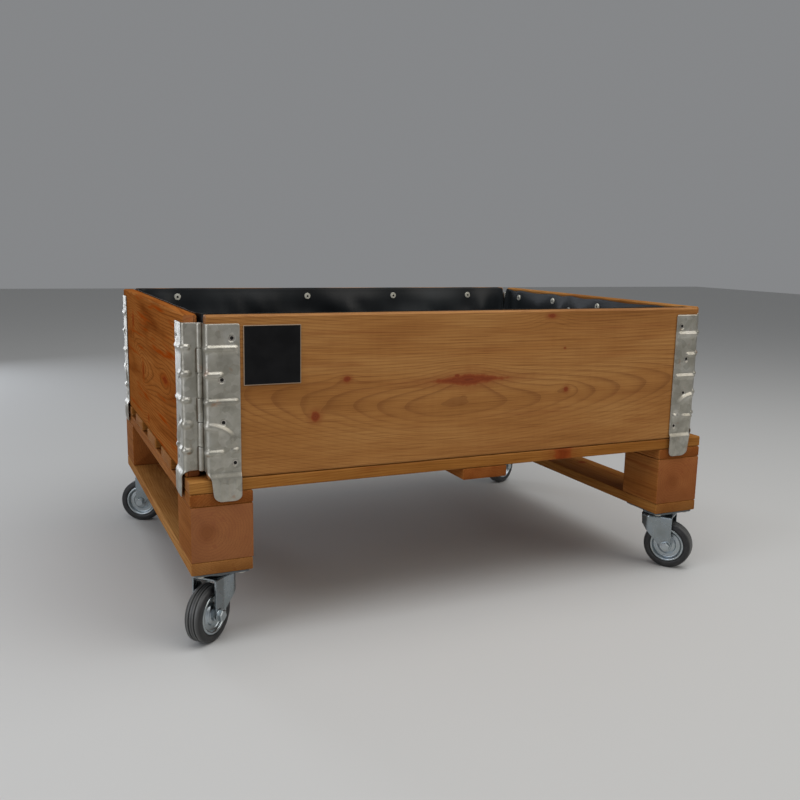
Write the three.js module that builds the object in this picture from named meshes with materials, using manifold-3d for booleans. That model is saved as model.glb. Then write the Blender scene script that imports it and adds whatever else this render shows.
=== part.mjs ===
// A rolling planter: a wooden planter frame with galvanised corner hinges and a black liner,
// standing on a light 800 x 600 pallet that runs on four swivel casters.
// Millimetres, +Z up, the long front side faces -Y. The origin is on the floor, under the
// middle of the pallet.
import * as THREE from 'three';
import { mergeVertices } from 'three/addons/utils/BufferGeometryUtils.js';
import Module from 'manifold-3d';

const wasm = await Module();
wasm.setup();

// Clearances and finish shared by all pieces
const FIT = 0.3; // between two pieces that touch
const ARRIS = 2; // rounding along the edges of sawn wood
const END_CHAMFER = 1.2; // broken edge round a board's end
const CURVE_STEPS = 1; // a rounded corner has twice as many sides

// Pallet
const PALLET_LENGTH = 800; // along X
const PALLET_WIDTH = 600; // along Y
const DECK_BOARD_COUNT = 5;
const DECK_BOARD_WIDTH = 78;
const DECK_BOARD_THICKNESS = 16;
const STRINGER_WIDTH = 79;
const STRINGER_THICKNESS = 16;
const MIDDLE_STRINGER_WIDTH = 70;
const MIDDLE_STRINGER_X = 12; // it was nailed a little off the middle
const BLOCK_LENGTH = 82; // along Y
const BLOCK_HEIGHT = 71.4;
const SKID_WIDTH = 78;
const SKID_THICKNESS = 16;

// Planter frame
const FRAME_HEIGHT = 202;
const FRAME_BOARD = 18; // thickness of its boards
const FRAME_GAP = 0.5; // between the frame and the deck
const CORNER_NOTCH = 24; // open square left at each outer corner

// Corner hinges
const SHEET = 1.5; // galvanised steel
const BARREL_RADIUS = 4;
const KNUCKLE_COUNT = 6;
const KNUCKLE_PLAY = 0.4; // up and down, between knuckles
const LEAF_DROP = 10; // leaf's top edge below the frame's rim
const LEAF_LIFT = 8.4; // leaf's lower edge above the frame's bottom
const LEAF_WIDTH = 42; // on the board's outer face
const BEND_RADIUS = 3.5; // outside of the leaf's bend
const TONGUE_INSET = 6; // tongue's near edge, from the leaf's bend
const TONGUE_REACH = 27.5; // below the deck's top
const TONGUE_JOGGLE = 3.6; // the tongue stands this much further out than the leaf
const TONGUE_SLOPE = 14; // height of the joggle
const TONGUE_CORNER = 10;
const BEAD_RADIUS = 3.4;
const BEAD_RISE = 2.2;
const LONG_BEAD = 32;
const SHORT_BEAD = 14;
const ARC_BEAD_RADIUS = 24;
const LONG_BEAD_DROPS = [40, 105]; // below the rim
const SHORT_BEAD_DROPS = [72, 168];
const ARC_BEAD_DROP = 135;

// Liner and label
const LINER_THICKNESS = 1.5;
const LINER_CORNER = 21;
const LINER_DROP = 1; // its edge below the rim, at the screws
const LINER_SAG = 4; // deeper still between two screws
const OPEN_CORNER_DROP = 36; // at the rear right corner the liner's edge is cut in a V
const LONG_SIDE_SCREWS = [-306, -60, 120, 289]; // along X
const SHORT_SIDE_SCREWS = [-160, -43, 99, 223]; // along Y
const SAG_STEPS = 4;
const CORNER_STEPS = 4;
const LABEL_WIDTH = 73;
const LABEL_HEIGHT = 74;
const LABEL_THICKNESS = 1;
const LABEL_INSET = 81; // its middle, from the front board's left end
const LABEL_DROP = 12.3; // below the rim

// Casters
const CASTER_HEIGHT = 98.5;
const CASTER_INSET = 40; // swivel axis in from the pallet's front and rear
const SWIVEL_HEAD = 11.5; // ball race and plate, above the fork
const WHEEL_HEADROOM = 23.5; // from the wheel's top to the plate's top
const TRAIL = 20;
const TYRE_WIDTH = 23;
const TYRE_DEPTH = 10.5;
const TYRE_SHOULDER = 1.2; // the tread's edges are broken this much
const TREAD_GROOVE = 1.4; // depth
const GROOVE_HALF_WIDTH = 1.2;
const RIM_LIP = 3.5; // turned-out edge that holds the tyre
const RIM_RECESS = 5; // depth of the disc inside that edge
const HUB_LENGTH = 30.4;
const HUB_RADIUS = 8.5;
const FORK_SHEET = 2.5;
const FORK_FLARE = 4; // the fork widens towards its swivel head
const FORK_REACH = 7.5; // beyond the axle, also the radius of the leg's end
const FORK_BACK = 22; // behind the swivel axis
const SHOULDER_DROP = 17; // the rear edge turns in this much below the fork's top
const AXLE_RADIUS = 4;
const AXLE_HEAD_RADIUS = 7.5;
const AXLE_HEAD = 4.5;
const CASTER_PLATE_WIDTH = 70; // along X
const CASTER_PLATE_LENGTH = 78; // along Y
const CASTER_PLATE_THICKNESS = 2.5;
const PLATE_HOLE_RADIUS = 3.4;
const PLATE_HOLE_INSET = 9;
const RACE_RADIUS = 24;
const KINGPIN_RADIUS = 5;
const KINGPIN_HEAD_RADIUS = 9;
const KINGPIN_HEAD = 3;
const HOLE_PLAY = 0.4; // round a pin or an axle in its hole
const TURN_STEPS = 16;
const WHEEL_STEPS = 18; // even, so that a flat meets the floor
// Each caster rests where the photograph shows it: the way its wheel trails, from +X
const CASTERS = [
  { name: 'front_left', side: -1, end: -1, heading: 224 },
  { name: 'front_right', side: 1, end: -1, heading: 306 },
  { name: 'rear_left', side: -1, end: 1, heading: 152 },
  { name: 'rear_right', side: 1, end: 1, heading: 28 },
];

// Levels and lines that several pieces share
const HALF_LENGTH = PALLET_LENGTH / 2;
const HALF_WIDTH = PALLET_WIDTH / 2;
const SKID_BOTTOM = CASTER_HEIGHT + FIT;
const BLOCK_BOTTOM = SKID_BOTTOM + SKID_THICKNESS + FIT;
const STRINGER_BOTTOM = BLOCK_BOTTOM + BLOCK_HEIGHT + FIT;
const DECK_BOTTOM = STRINGER_BOTTOM + STRINGER_THICKNESS + FIT;
const DECK_TOP = DECK_BOTTOM + DECK_BOARD_THICKNESS;
const FRAME_BOTTOM = DECK_TOP + FRAME_GAP;
const RIM = FRAME_BOTTOM + FRAME_HEIGHT;
const LONG_BOARD_END = HALF_LENGTH - CORNER_NOTCH;
const SIDE_BOARD_END = HALF_WIDTH - CORNER_NOTCH;
const PIN_X = LONG_BOARD_END + FIT + BARREL_RADIUS;
const PIN_Y = SIDE_BOARD_END + FIT + BARREL_RADIUS;
const PIN_RADIUS = BARREL_RADIUS - SHEET - HOLE_PLAY;
const LEAF_TOP = RIM - LEAF_DROP;
const LEAF_BOTTOM = FRAME_BOTTOM + LEAF_LIFT;
const KNUCKLE_HEIGHT = (LEAF_TOP - LEAF_BOTTOM) / KNUCKLE_COUNT;
const LABEL_X = LABEL_INSET - LONG_BOARD_END;
const SWIVEL_X = HALF_LENGTH - SKID_WIDTH / 2;
const SWIVEL_Y = HALF_WIDTH - CASTER_INSET;
const WHEEL_RADIUS = (CASTER_HEIGHT - WHEEL_HEADROOM) / 2;
const RIM_RADIUS = WHEEL_RADIUS - TYRE_DEPTH;
const FORK_TOP = CASTER_HEIGHT - SWIVEL_HEAD;
const LEG_SHOULDER = FORK_TOP - SHOULDER_DROP;
const FORK_HALF = HUB_LENGTH / 2 + FIT + FORK_SHEET;

const PINE = { color: 0x9a6a3c, roughness: 0.62, metalness: 0 };
const DECK_WOOD = { color: 0xb58a55, roughness: 0.68, metalness: 0 };
const GALVANISED = { color: 0x9a9c98, roughness: 0.42, metalness: 0.85 };
const ZINC_PLATE = { color: 0x9aa2a8, roughness: 0.3, metalness: 0.9 };
const RUBBER = { color: 0x2b2c2e, roughness: 0.7, metalness: 0 };
const MEMBRANE = { color: 0x33363a, roughness: 0.55, metalness: 0 };
const LABEL_BLACK = { color: 0x16171a, roughness: 0.45, metalness: 0 };

// A closed geometry as a solid, and back
function solidOf(geometry) {
  const bare = geometry.clone();
  bare.deleteAttribute('normal');
  bare.deleteAttribute('uv');
  const merged = mergeVertices(bare, 1e-4);
  const mesh = new wasm.Mesh({
    numProp: 3,
    vertProperties: new Float32Array(merged.attributes.position.array),
    triVerts: new Uint32Array(merged.index.array),
  });
  mesh.merge();
  return new wasm.Manifold(mesh);
}

function geometryOf(solid) {
  const mesh = solid.getMesh();
  const geometry = new THREE.BufferGeometry();
  geometry.setAttribute('position', new THREE.BufferAttribute(mesh.vertProperties, 3));
  geometry.setIndex(new THREE.BufferAttribute(mesh.triVerts, 1));
  return geometry;
}

function join(...geometries) {
  return geometryOf(geometries.map(solidOf).reduce((all, next) => all.add(next)));
}

function cut(geometry, ...tools) {
  return geometryOf(tools.map(solidOf).reduce((rest, tool) => rest.subtract(tool), solidOf(geometry)));
}

function common(a, b) {
  return geometryOf(solidOf(a).intersect(solidOf(b)));
}

function polygon(points) {
  return new THREE.Shape(points.map(([x, y]) => new THREE.Vector2(x, y)));
}

function roundedRectangle(width, height, radius) {
  const x = width / 2;
  const y = height / 2;
  const shape = new THREE.Shape();
  shape.moveTo(-x + radius, -y);
  shape.lineTo(x - radius, -y);
  shape.absarc(x - radius, -y + radius, radius, -Math.PI / 2, 0);
  shape.lineTo(x, y - radius);
  shape.absarc(x - radius, y - radius, radius, 0, Math.PI / 2);
  shape.lineTo(-x + radius, y);
  shape.absarc(-x + radius, y - radius, radius, Math.PI / 2, Math.PI);
  shape.lineTo(-x, -y + radius);
  shape.absarc(-x + radius, -y + radius, radius, Math.PI, 1.5 * Math.PI);
  return shape;
}

function extruded(shape, depth, steps = CURVE_STEPS) {
  return new THREE.ExtrudeGeometry(shape, { depth, bevelEnabled: false, curveSegments: steps });
}

// A profile in X and Z, pushed along Y from y0 to y0 + depth
function extrudedAlongY(shape, y0, depth, steps = CURVE_STEPS) {
  return extruded(shape, depth, steps).rotateX(Math.PI / 2).translate(0, y0 + depth, 0);
}

function upright(radius, bottom, top, x = 0, y = 0, steps = TURN_STEPS) {
  const height = top - bottom;
  const cylinder = new THREE.CylinderGeometry(radius, radius, height, steps);
  return cylinder.rotateX(Math.PI / 2).translate(x, y, bottom + height / 2);
}

// A length of sawn wood: rounded along its length (X), its ends' edges broken
function plank(length, width, thickness) {
  const section = roundedRectangle(width, thickness, ARRIS);
  const body = new THREE.ExtrudeGeometry(section, {
    depth: length - 2 * END_CHAMFER,
    bevelThickness: END_CHAMFER,
    bevelSize: END_CHAMFER,
    bevelOffset: -END_CHAMFER,
    bevelSegments: 1,
    curveSegments: CURVE_STEPS,
  });
  body.translate(0, 0, END_CHAMFER - length / 2);
  return body.rotateZ(Math.PI / 2).rotateY(Math.PI / 2);
}

function named(name, geometry, look) {
  const mesh = new THREE.Mesh(geometry, new THREE.MeshStandardMaterial(look));
  mesh.name = name;
  return mesh;
}

function makePallet() {
  const pallet = new THREE.Group();
  const boardPitch = (PALLET_WIDTH - DECK_BOARD_WIDTH) / (DECK_BOARD_COUNT - 1);
  for (let i = 0; i < DECK_BOARD_COUNT; i += 1) {
    const board = plank(PALLET_LENGTH, DECK_BOARD_WIDTH, DECK_BOARD_THICKNESS);
    const mesh = named(`deck_board_${i + 1}`, board, DECK_WOOD);
    const y = -HALF_WIDTH + DECK_BOARD_WIDTH / 2 + i * boardPitch;
    mesh.position.set(0, y, DECK_TOP - DECK_BOARD_THICKNESS / 2);
    pallet.add(mesh);
  }
  const outerX = HALF_LENGTH - STRINGER_WIDTH / 2;
  const stringers = [
    { name: 'left', x: -outerX, width: STRINGER_WIDTH },
    { name: 'middle', x: MIDDLE_STRINGER_X, width: MIDDLE_STRINGER_WIDTH },
    { name: 'right', x: outerX, width: STRINGER_WIDTH },
  ];
  for (const { name, x, width } of stringers) {
    const board = plank(PALLET_WIDTH, width, STRINGER_THICKNESS).rotateZ(Math.PI / 2);
    const mesh = named(`stringer_${name}`, board, DECK_WOOD);
    mesh.position.set(x, 0, STRINGER_BOTTOM + STRINGER_THICKNESS / 2);
    pallet.add(mesh);
  }
  for (const { name, side, end } of CASTERS) {
    const block = plank(BLOCK_LENGTH, STRINGER_WIDTH, BLOCK_HEIGHT).rotateZ(Math.PI / 2);
    const mesh = named(`block_${name}`, block, DECK_WOOD);
    const y = end * (HALF_WIDTH - BLOCK_LENGTH / 2);
    mesh.position.set(side * outerX, y, BLOCK_BOTTOM + BLOCK_HEIGHT / 2);
    pallet.add(mesh);
  }
  for (const [name, side] of [['left', -1], ['right', 1]]) {
    const skid = plank(PALLET_WIDTH, SKID_WIDTH, SKID_THICKNESS).rotateZ(Math.PI / 2);
    const mesh = named(`skid_${name}`, skid, DECK_WOOD);
    mesh.position.set(side * SWIVEL_X, 0, SKID_BOTTOM + SKID_THICKNESS / 2);
    pallet.add(mesh);
  }
  return pallet;
}

function makeFrameBoards() {
  const boards = new THREE.Group();
  const middle = FRAME_BOTTOM + FRAME_HEIGHT / 2;
  for (const [name, end] of [['front', -1], ['rear', 1]]) {
    const board = plank(2 * LONG_BOARD_END, FRAME_HEIGHT, FRAME_BOARD).rotateX(Math.PI / 2);
    const mesh = named(`frame_board_${name}`, board, PINE);
    mesh.position.set(0, end * (HALF_WIDTH - FRAME_BOARD / 2), middle);
    boards.add(mesh);
  }
  for (const [name, side] of [['left', -1], ['right', 1]]) {
    const board = plank(2 * SIDE_BOARD_END, FRAME_HEIGHT, FRAME_BOARD);
    board.rotateX(Math.PI / 2).rotateZ(Math.PI / 2);
    const mesh = named(`frame_board_${name}`, board, PINE);
    mesh.position.set(side * (HALF_LENGTH - FRAME_BOARD / 2), 0, middle);
    boards.add(mesh);
  }
  return boards;
}

// A hinge leaf, drawn about its pin: x runs along the board, away from the corner, and y out
// through the board's face. Its flange covers the board's end and curls round the pin.
function leafGeometry(firstKnuckle) {
  const faceY = HALF_WIDTH - PIN_Y + FIT; // back of the plate, on the board's outer face
  const outerY = faceY + SHEET;
  const flangeIn = BARREL_RADIUS; // flange's side on the board's end
  const flangeOut = flangeIn - SHEET;
  const innerBend = BEND_RADIUS - SHEET;
  const section = new THREE.Shape();
  section.moveTo(flangeOut, BARREL_RADIUS + FIT);
  section.lineTo(flangeIn, BARREL_RADIUS + FIT);
  section.lineTo(flangeIn, faceY - innerBend);
  section.absarc(flangeIn + innerBend, faceY - innerBend, innerBend, Math.PI, Math.PI / 2, true);
  section.lineTo(flangeOut + LEAF_WIDTH, faceY);
  section.lineTo(flangeOut + LEAF_WIDTH, outerY);
  section.lineTo(flangeOut + BEND_RADIUS, outerY);
  section.absarc(flangeOut + BEND_RADIUS, outerY - BEND_RADIUS, BEND_RADIUS, Math.PI / 2, Math.PI, false);
  const plate = extruded(section, LEAF_TOP - LEAF_BOTTOM, 2).translate(0, 0, LEAF_BOTTOM);
  return join(plate, ...knuckles(firstKnuckle), tongue(faceY), ...beads(outerY));
}

function knuckles(first) {
  const rings = [];
  for (let i = first; i < KNUCKLE_COUNT; i += 2) {
    const ring = new THREE.Shape();
    ring.absarc(0, 0, BARREL_RADIUS, 0, 2 * Math.PI);
    const bore = new THREE.Path();
    bore.absarc(0, 0, BARREL_RADIUS - SHEET, 0, 2 * Math.PI, true);
    ring.holes.push(bore);
    const height = KNUCKLE_HEIGHT - KNUCKLE_PLAY;
    const bottom = LEAF_TOP - (i + 1) * KNUCKLE_HEIGHT + KNUCKLE_PLAY / 2;
    const strap = new THREE.BoxGeometry(SHEET, BARREL_RADIUS + 2 * FIT, height);
    strap.translate(BARREL_RADIUS - SHEET / 2, BARREL_RADIUS / 2 + FIT, bottom + height / 2);
    rings.push(join(extruded(ring, height, 4).translate(0, 0, bottom), strap));
  }
  return rings;
}

// The leaf's lower end steps outwards and hangs over the deck's edge
function tongue(faceY) {
  const near = BARREL_RADIUS - SHEET + TONGUE_INSET;
  const far = BARREL_RADIUS - SHEET + LEAF_WIDTH;
  const bottom = DECK_TOP - TONGUE_REACH;
  const top = LEAF_BOTTOM + TONGUE_CORNER;
  const outline = new THREE.Shape();
  outline.moveTo(near + TONGUE_CORNER, bottom);
  outline.lineTo(far - TONGUE_CORNER, bottom);
  outline.absarc(far - TONGUE_CORNER, bottom + TONGUE_CORNER, TONGUE_CORNER, -Math.PI / 2, 0);
  outline.lineTo(far, top);
  outline.lineTo(near, top);
  outline.lineTo(near, bottom + TONGUE_CORNER);
  outline.absarc(near + TONGUE_CORNER, bottom + TONGUE_CORNER, TONGUE_CORNER, Math.PI, 1.5 * Math.PI);
  const slab = extrudedAlongY(outline, faceY, SHEET + TONGUE_JOGGLE + FIT, 2);
  const out = faceY + TONGUE_JOGGLE;
  const kneeZ = LEAF_BOTTOM - TONGUE_SLOPE;
  const profile = polygon([
    [faceY, top + FIT], [faceY, LEAF_BOTTOM], [out, kneeZ], [out, bottom - FIT],
    [out + SHEET, bottom - FIT], [out + SHEET, kneeZ],
    [faceY + SHEET, LEAF_BOTTOM], [faceY + SHEET, top + FIT],
  ]);
  // the profile's x is the leaf's y and its y is the leaf's z
  const sheet = extruded(profile, LEAF_WIDTH).rotateX(Math.PI / 2).rotateZ(Math.PI / 2);
  sheet.translate(BARREL_RADIUS - SHEET, 0, 0);
  return common(slab, sheet);
}

function bead(length, x, z, outerY) {
  const capsule = new THREE.CapsuleGeometry(BEAD_RADIUS, length - 2 * BEAD_RADIUS, 2, 6);
  capsule.rotateZ(Math.PI / 2).scale(1, BEAD_RISE / BEAD_RADIUS, 1);
  const front = new THREE.BoxGeometry(length, SHEET / 2 + BEAD_RISE, 2 * BEAD_RADIUS);
  front.translate(0, BEAD_RISE / 2 - SHEET / 4, 0);
  return common(capsule, front).translate(x + length / 2, outerY, z);
}

function beads(outerY) {
  const start = BARREL_RADIUS - SHEET + BEND_RADIUS;
  const list = [];
  for (const drop of LONG_BEAD_DROPS) {
    list.push(bead(LONG_BEAD, start, RIM - drop, outerY));
  }
  for (const drop of SHORT_BEAD_DROPS) {
    list.push(bead(SHORT_BEAD, start, RIM - drop, outerY));
  }
  const arc = new THREE.Shape();
  arc.absarc(0, 0, ARC_BEAD_RADIUS + BEAD_RADIUS, 0, Math.PI / 2, false);
  arc.absarc(0, 0, ARC_BEAD_RADIUS - BEAD_RADIUS, Math.PI / 2, 0, true);
  const quarter = extrudedAlongY(arc, outerY - SHEET / 2, SHEET / 2 + BEAD_RISE, 4);
  list.push(quarter.translate(start, 0, RIM - ARC_BEAD_DROP - ARC_BEAD_RADIUS));
  return list;
}

// Puts a leaf drawn as above at a corner, its x and y along two directions of the plan.
// A mirrored leaf has its triangles turned over, so that its faces still point out.
function placedLeaf(geometry, along, out, x, y) {
  const basis = new THREE.Matrix4().makeBasis(along, out, new THREE.Vector3(0, 0, 1));
  basis.setPosition(x, y, 0);
  const placed = geometry.clone().applyMatrix4(basis);
  if (basis.determinant() < 0) {
    const index = placed.index.array;
    for (let i = 0; i < index.length; i += 3) {
      [index[i], index[i + 1]] = [index[i + 1], index[i]];
    }
  }
  return placed;
}

function makeHinges() {
  const hinges = new THREE.Group();
  const longLeaf = leafGeometry(1);
  const sideLeaf = leafGeometry(0);
  for (const { name, side, end } of CASTERS) {
    const x = side * PIN_X;
    const y = end * PIN_Y;
    const inX = new THREE.Vector3(-side, 0, 0);
    const outX = new THREE.Vector3(side, 0, 0);
    const inY = new THREE.Vector3(0, -end, 0);
    const outY = new THREE.Vector3(0, end, 0);
    hinges.add(named(`hinge_leaf_${name}_long`, placedLeaf(longLeaf, inX, outY, x, y), GALVANISED));
    hinges.add(named(`hinge_leaf_${name}_side`, placedLeaf(sideLeaf, inY, outX, x, y), GALVANISED));
    const pin = upright(PIN_RADIUS, LEAF_BOTTOM, LEAF_TOP, x, y, 12);
    hinges.add(named(`hinge_pin_${name}`, pin, GALVANISED));
  }
  return hinges;
}

// How far the liner's edge hangs at a place along one side, between the screws there
function sagAt(place, screws, sideEnd) {
  const stops = [-sideEnd, ...screws, sideEnd];
  const next = stops.findIndex((stop) => stop >= place - 1e-6);
  const from = stops[Math.max(next - 1, 0)];
  const to = stops[Math.max(next, 1)];
  const share = (place - from) / (to - from);
  return LINER_SAG * Math.sin(Math.PI * share) ** 2;
}

// The liner's rim line, seen from above and anticlockwise: [x, y, drop] at each station
function linerStations(halfX, halfY, corner) {
  const stations = [];
  const straightX = halfX - corner;
  const straightY = halfY - corner;
  const backwards = (places) => places.map((place) => -place).reverse();
  const sides = [
    { turn: 0, reach: straightX, out: halfY, screws: LONG_SIDE_SCREWS, notch: 0 },
    { turn: 1, reach: straightY, out: halfX, screws: SHORT_SIDE_SCREWS, notch: OPEN_CORNER_DROP },
    { turn: 2, reach: straightX, out: halfY, screws: backwards(LONG_SIDE_SCREWS), notch: 0 },
    { turn: 3, reach: straightY, out: halfX, screws: backwards(SHORT_SIDE_SCREWS), notch: 0 },
  ];
  for (const { turn, reach, out, screws, notch } of sides) {
    const cos = Math.cos((turn * Math.PI) / 2);
    const sin = Math.sin((turn * Math.PI) / 2);
    const spin = (x, y) => [x * cos - y * sin, x * sin + y * cos];
    const stops = [-reach, ...screws, reach];
    for (let span = 0; span + 1 < stops.length; span += 1) {
      for (let step = 0; step < SAG_STEPS; step += 1) {
        const place = THREE.MathUtils.lerp(stops[span], stops[span + 1], step / SAG_STEPS);
        stations.push([...spin(place, -out), sagAt(place, screws, reach)]);
      }
    }
    for (let step = 0; step < CORNER_STEPS; step += 1) {
      const share = step / CORNER_STEPS;
      const bend = (share - 1) * (Math.PI / 2);
      const x = reach + corner * Math.cos(bend);
      const y = corner - out + corner * Math.sin(bend);
      stations.push([...spin(x, y), notch * Math.sin(Math.PI * share)]);
    }
  }
  return stations;
}

// An open bag of membrane: outer wall, rim, inner wall, and a floor with two sides
function makeLiner() {
  const halfX = HALF_LENGTH - FRAME_BOARD - FIT;
  const halfY = HALF_WIDTH - FRAME_BOARD - FIT;
  const outer = linerStations(halfX, halfY, LINER_CORNER);
  const inner = linerStations(
    halfX - LINER_THICKNESS,
    halfY - LINER_THICKNESS,
    LINER_CORNER - LINER_THICKNESS,
  );
  const bottom = DECK_TOP + FIT;
  const rings = [
    outer.map(([x, y]) => [x, y, bottom]),
    outer.map(([x, y, sag]) => [x, y, RIM - LINER_DROP - sag]),
    inner.map(([x, y, sag]) => [x, y, RIM - LINER_DROP - sag]),
    inner.map(([x, y]) => [x, y, bottom + LINER_THICKNESS]),
  ];
  const count = outer.length;
  const points = rings.flat();
  const triangles = [];
  for (let ring = 0; ring < rings.length - 1; ring += 1) {
    for (let i = 0; i < count; i += 1) {
      const a = ring * count + i;
      const b = ring * count + ((i + 1) % count);
      triangles.push(a, b, b + count, a, b + count, a + count);
    }
  }
  const under = points.push([0, 0, bottom]) - 1;
  const over = points.push([0, 0, bottom + LINER_THICKNESS]) - 1;
  const last = (rings.length - 1) * count;
  for (let i = 0; i < count; i += 1) {
    const next = (i + 1) % count;
    triangles.push(under, next, i, over, last + i, last + next);
  }
  const geometry = new THREE.BufferGeometry();
  geometry.setAttribute('position', new THREE.Float32BufferAttribute(points.flat(), 3));
  geometry.setIndex(triangles);
  return named('liner', geometry, MEMBRANE);
}

function makeLabel() {
  const outline = roundedRectangle(LABEL_WIDTH, LABEL_HEIGHT, ARRIS);
  const plate = extrudedAlongY(outline, -LABEL_THICKNESS, LABEL_THICKNESS);
  const mesh = named('label_plate', plate, LABEL_BLACK);
  mesh.position.set(LABEL_X, -HALF_WIDTH - FIT, RIM - LABEL_DROP - LABEL_HEIGHT / 2);
  return mesh;
}

// Turned about the Z axis from a closed profile of [radius, z]
function turned(profile, steps = TURN_STEPS) {
  const points = profile.map(([r, z]) => new THREE.Vector2(r, z));
  if (profile[0][0] > 0) {
    points.push(points[0].clone());
  }
  return new THREE.LatheGeometry(points, steps).rotateX(Math.PI / 2);
}

function casterPlate() {
  const outline = roundedRectangle(CASTER_PLATE_WIDTH, CASTER_PLATE_LENGTH, 2 * ARRIS);
  const holeX = CASTER_PLATE_WIDTH / 2 - PLATE_HOLE_INSET;
  const holeY = CASTER_PLATE_LENGTH / 2 - PLATE_HOLE_INSET;
  const places = [[0, 0, KINGPIN_RADIUS + HOLE_PLAY]];
  for (const [x, y] of [[-1, -1], [1, -1], [1, 1], [-1, 1]]) {
    places.push([x * holeX, y * holeY, PLATE_HOLE_RADIUS]);
  }
  for (const [x, y, radius] of places) {
    const hole = new THREE.Path();
    hole.absarc(x, y, radius, 0, 2 * Math.PI, true);
    outline.holes.push(hole);
  }
  const bottom = CASTER_HEIGHT - CASTER_PLATE_THICKNESS;
  return extruded(outline, CASTER_PLATE_THICKNESS, 4).translate(0, 0, bottom);
}

// The pressed ball race between the plate and the fork
function swivelRace() {
  const top = CASTER_HEIGHT - CASTER_PLATE_THICKNESS - FIT;
  const bottom = FORK_TOP + FIT;
  const bore = KINGPIN_RADIUS + HOLE_PLAY;
  const waist = (top + bottom) / 2;
  return turned([
    [bore, bottom], [RACE_RADIUS - 2, bottom], [RACE_RADIUS, bottom + 1.5],
    [RACE_RADIUS - 1.5, waist], [RACE_RADIUS - 4, top], [bore, top],
  ]);
}

function kingpin() {
  const headTop = FORK_TOP - FORK_SHEET - FIT;
  return turned([
    [0, headTop - KINGPIN_HEAD], [KINGPIN_HEAD_RADIUS - 2, headTop - KINGPIN_HEAD],
    [KINGPIN_HEAD_RADIUS, headTop - 1], [KINGPIN_HEAD_RADIUS, headTop],
    [KINGPIN_RADIUS, headTop], [KINGPIN_RADIUS, CASTER_HEIGHT - FIT], [0, CASTER_HEIGHT - FIT],
  ], 12);
}

// The fork's plan: parallel where it holds the wheel, wider round the swivel head
function forkPlan(inset) {
  const half = FORK_HALF - inset;
  const front = TRAIL + FORK_REACH;
  const back = FORK_BACK - inset;
  const bend = TRAIL - FORK_REACH;
  return [[front, half], [bend, half], [-back / 3, half + FORK_FLARE], [-back, half - 2],
    [-back, 2 - half], [-back / 3, -half - FORK_FLARE], [bend, -half], [front, -half]];
}

// Two legs bent down from one plate, wheel trailing towards +X
function forkGeometry() {
  const plate = extruded(polygon(forkPlan(0)), FORK_SHEET).translate(0, 0, FORK_TOP - FORK_SHEET);
  const outside = extruded(polygon(forkPlan(0)), FORK_TOP);
  const insidePlan = forkPlan(FORK_SHEET);
  insidePlan[0][0] += FORK_SHEET;
  insidePlan[insidePlan.length - 1][0] += FORK_SHEET;
  const room = extruded(polygon(insidePlan), FORK_TOP + FIT);
  const legSide = new THREE.Shape();
  const front = TRAIL + FORK_REACH;
  legSide.moveTo(front, FORK_TOP);
  legSide.lineTo(front, WHEEL_RADIUS);
  legSide.absarc(TRAIL, WHEEL_RADIUS, FORK_REACH, 0, -0.8 * Math.PI, true);
  legSide.lineTo(-FORK_BACK + 2, LEG_SHOULDER);
  legSide.lineTo(-FORK_BACK + 1, FORK_TOP);
  const span = 2 * (FORK_HALF + FORK_FLARE + FIT);
  const legs = common(cut(outside, room), extrudedAlongY(legSide, -span / 2, span, 5));
  const bore = AXLE_RADIUS + HOLE_PLAY;
  const axleHole = new THREE.CylinderGeometry(bore, bore, span, 12);
  axleHole.translate(TRAIL, 0, WHEEL_RADIUS);
  const kingpinHole = upright(KINGPIN_RADIUS + HOLE_PLAY, 0, CASTER_HEIGHT, 0, 0, 12);
  return cut(join(plate, legs), kingpinHole, axleHole);
}

function axleGeometry() {
  const shank = new THREE.CylinderGeometry(AXLE_RADIUS, AXLE_RADIUS, 2 * (FORK_HALF + FIT), 12);
  const heads = [1, -1].map((way) => {
    const head = new THREE.CylinderGeometry(AXLE_HEAD_RADIUS, AXLE_HEAD_RADIUS, AXLE_HEAD, 6);
    return head.translate(0, way * (FORK_HALF + FIT + AXLE_HEAD / 2), 0);
  });
  return join(shank, ...heads).translate(TRAIL, 0, WHEEL_RADIUS);
}

// Turned about the axle from one side's profile of [radius, distance from the middle]. The
// flats between its corners lie on the true radius, with one of them underneath.
function wheelPiece(side) {
  const halfStep = Math.PI / WHEEL_STEPS;
  const profile = [...side.map(([r, y]) => [r, -y]), ...side.map(([r, y]) => [r, y]).reverse()];
  const points = [...profile, profile[0]].map(([r, y]) => new THREE.Vector2(r / Math.cos(halfStep), y));
  const body = new THREE.LatheGeometry(points, WHEEL_STEPS, halfStep);
  return body.translate(TRAIL, 0, WHEEL_RADIUS);
}

function rimGeometry() {
  const bore = AXLE_RADIUS + HOLE_PLAY;
  const lip = TYRE_WIDTH / 2 - 0.5;
  const disc = lip - RIM_RECESS;
  return wheelPiece([
    [bore, HUB_LENGTH / 2], [HUB_RADIUS, HUB_LENGTH / 2],
    [HUB_RADIUS + 1, (lip + disc) / 2], [RIM_RADIUS / 2, (lip + disc) / 2],
    [RIM_RADIUS - 2 * RIM_LIP, disc], [RIM_RADIUS - RIM_LIP, lip], [RIM_RADIUS, lip],
  ]);
}

function tyreGeometry() {
  const half = TYRE_WIDTH / 2;
  const grooveY = half / 3;
  return wheelPiece([
    [RIM_RADIUS + FIT, half - 1], [WHEEL_RADIUS - TYRE_DEPTH / 2, half],
    [WHEEL_RADIUS - TYRE_SHOULDER, half - 2], [WHEEL_RADIUS, grooveY + GROOVE_HALF_WIDTH],
    [WHEEL_RADIUS - TREAD_GROOVE, grooveY], [WHEEL_RADIUS, grooveY - GROOVE_HALF_WIDTH],
  ]);
}

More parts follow.
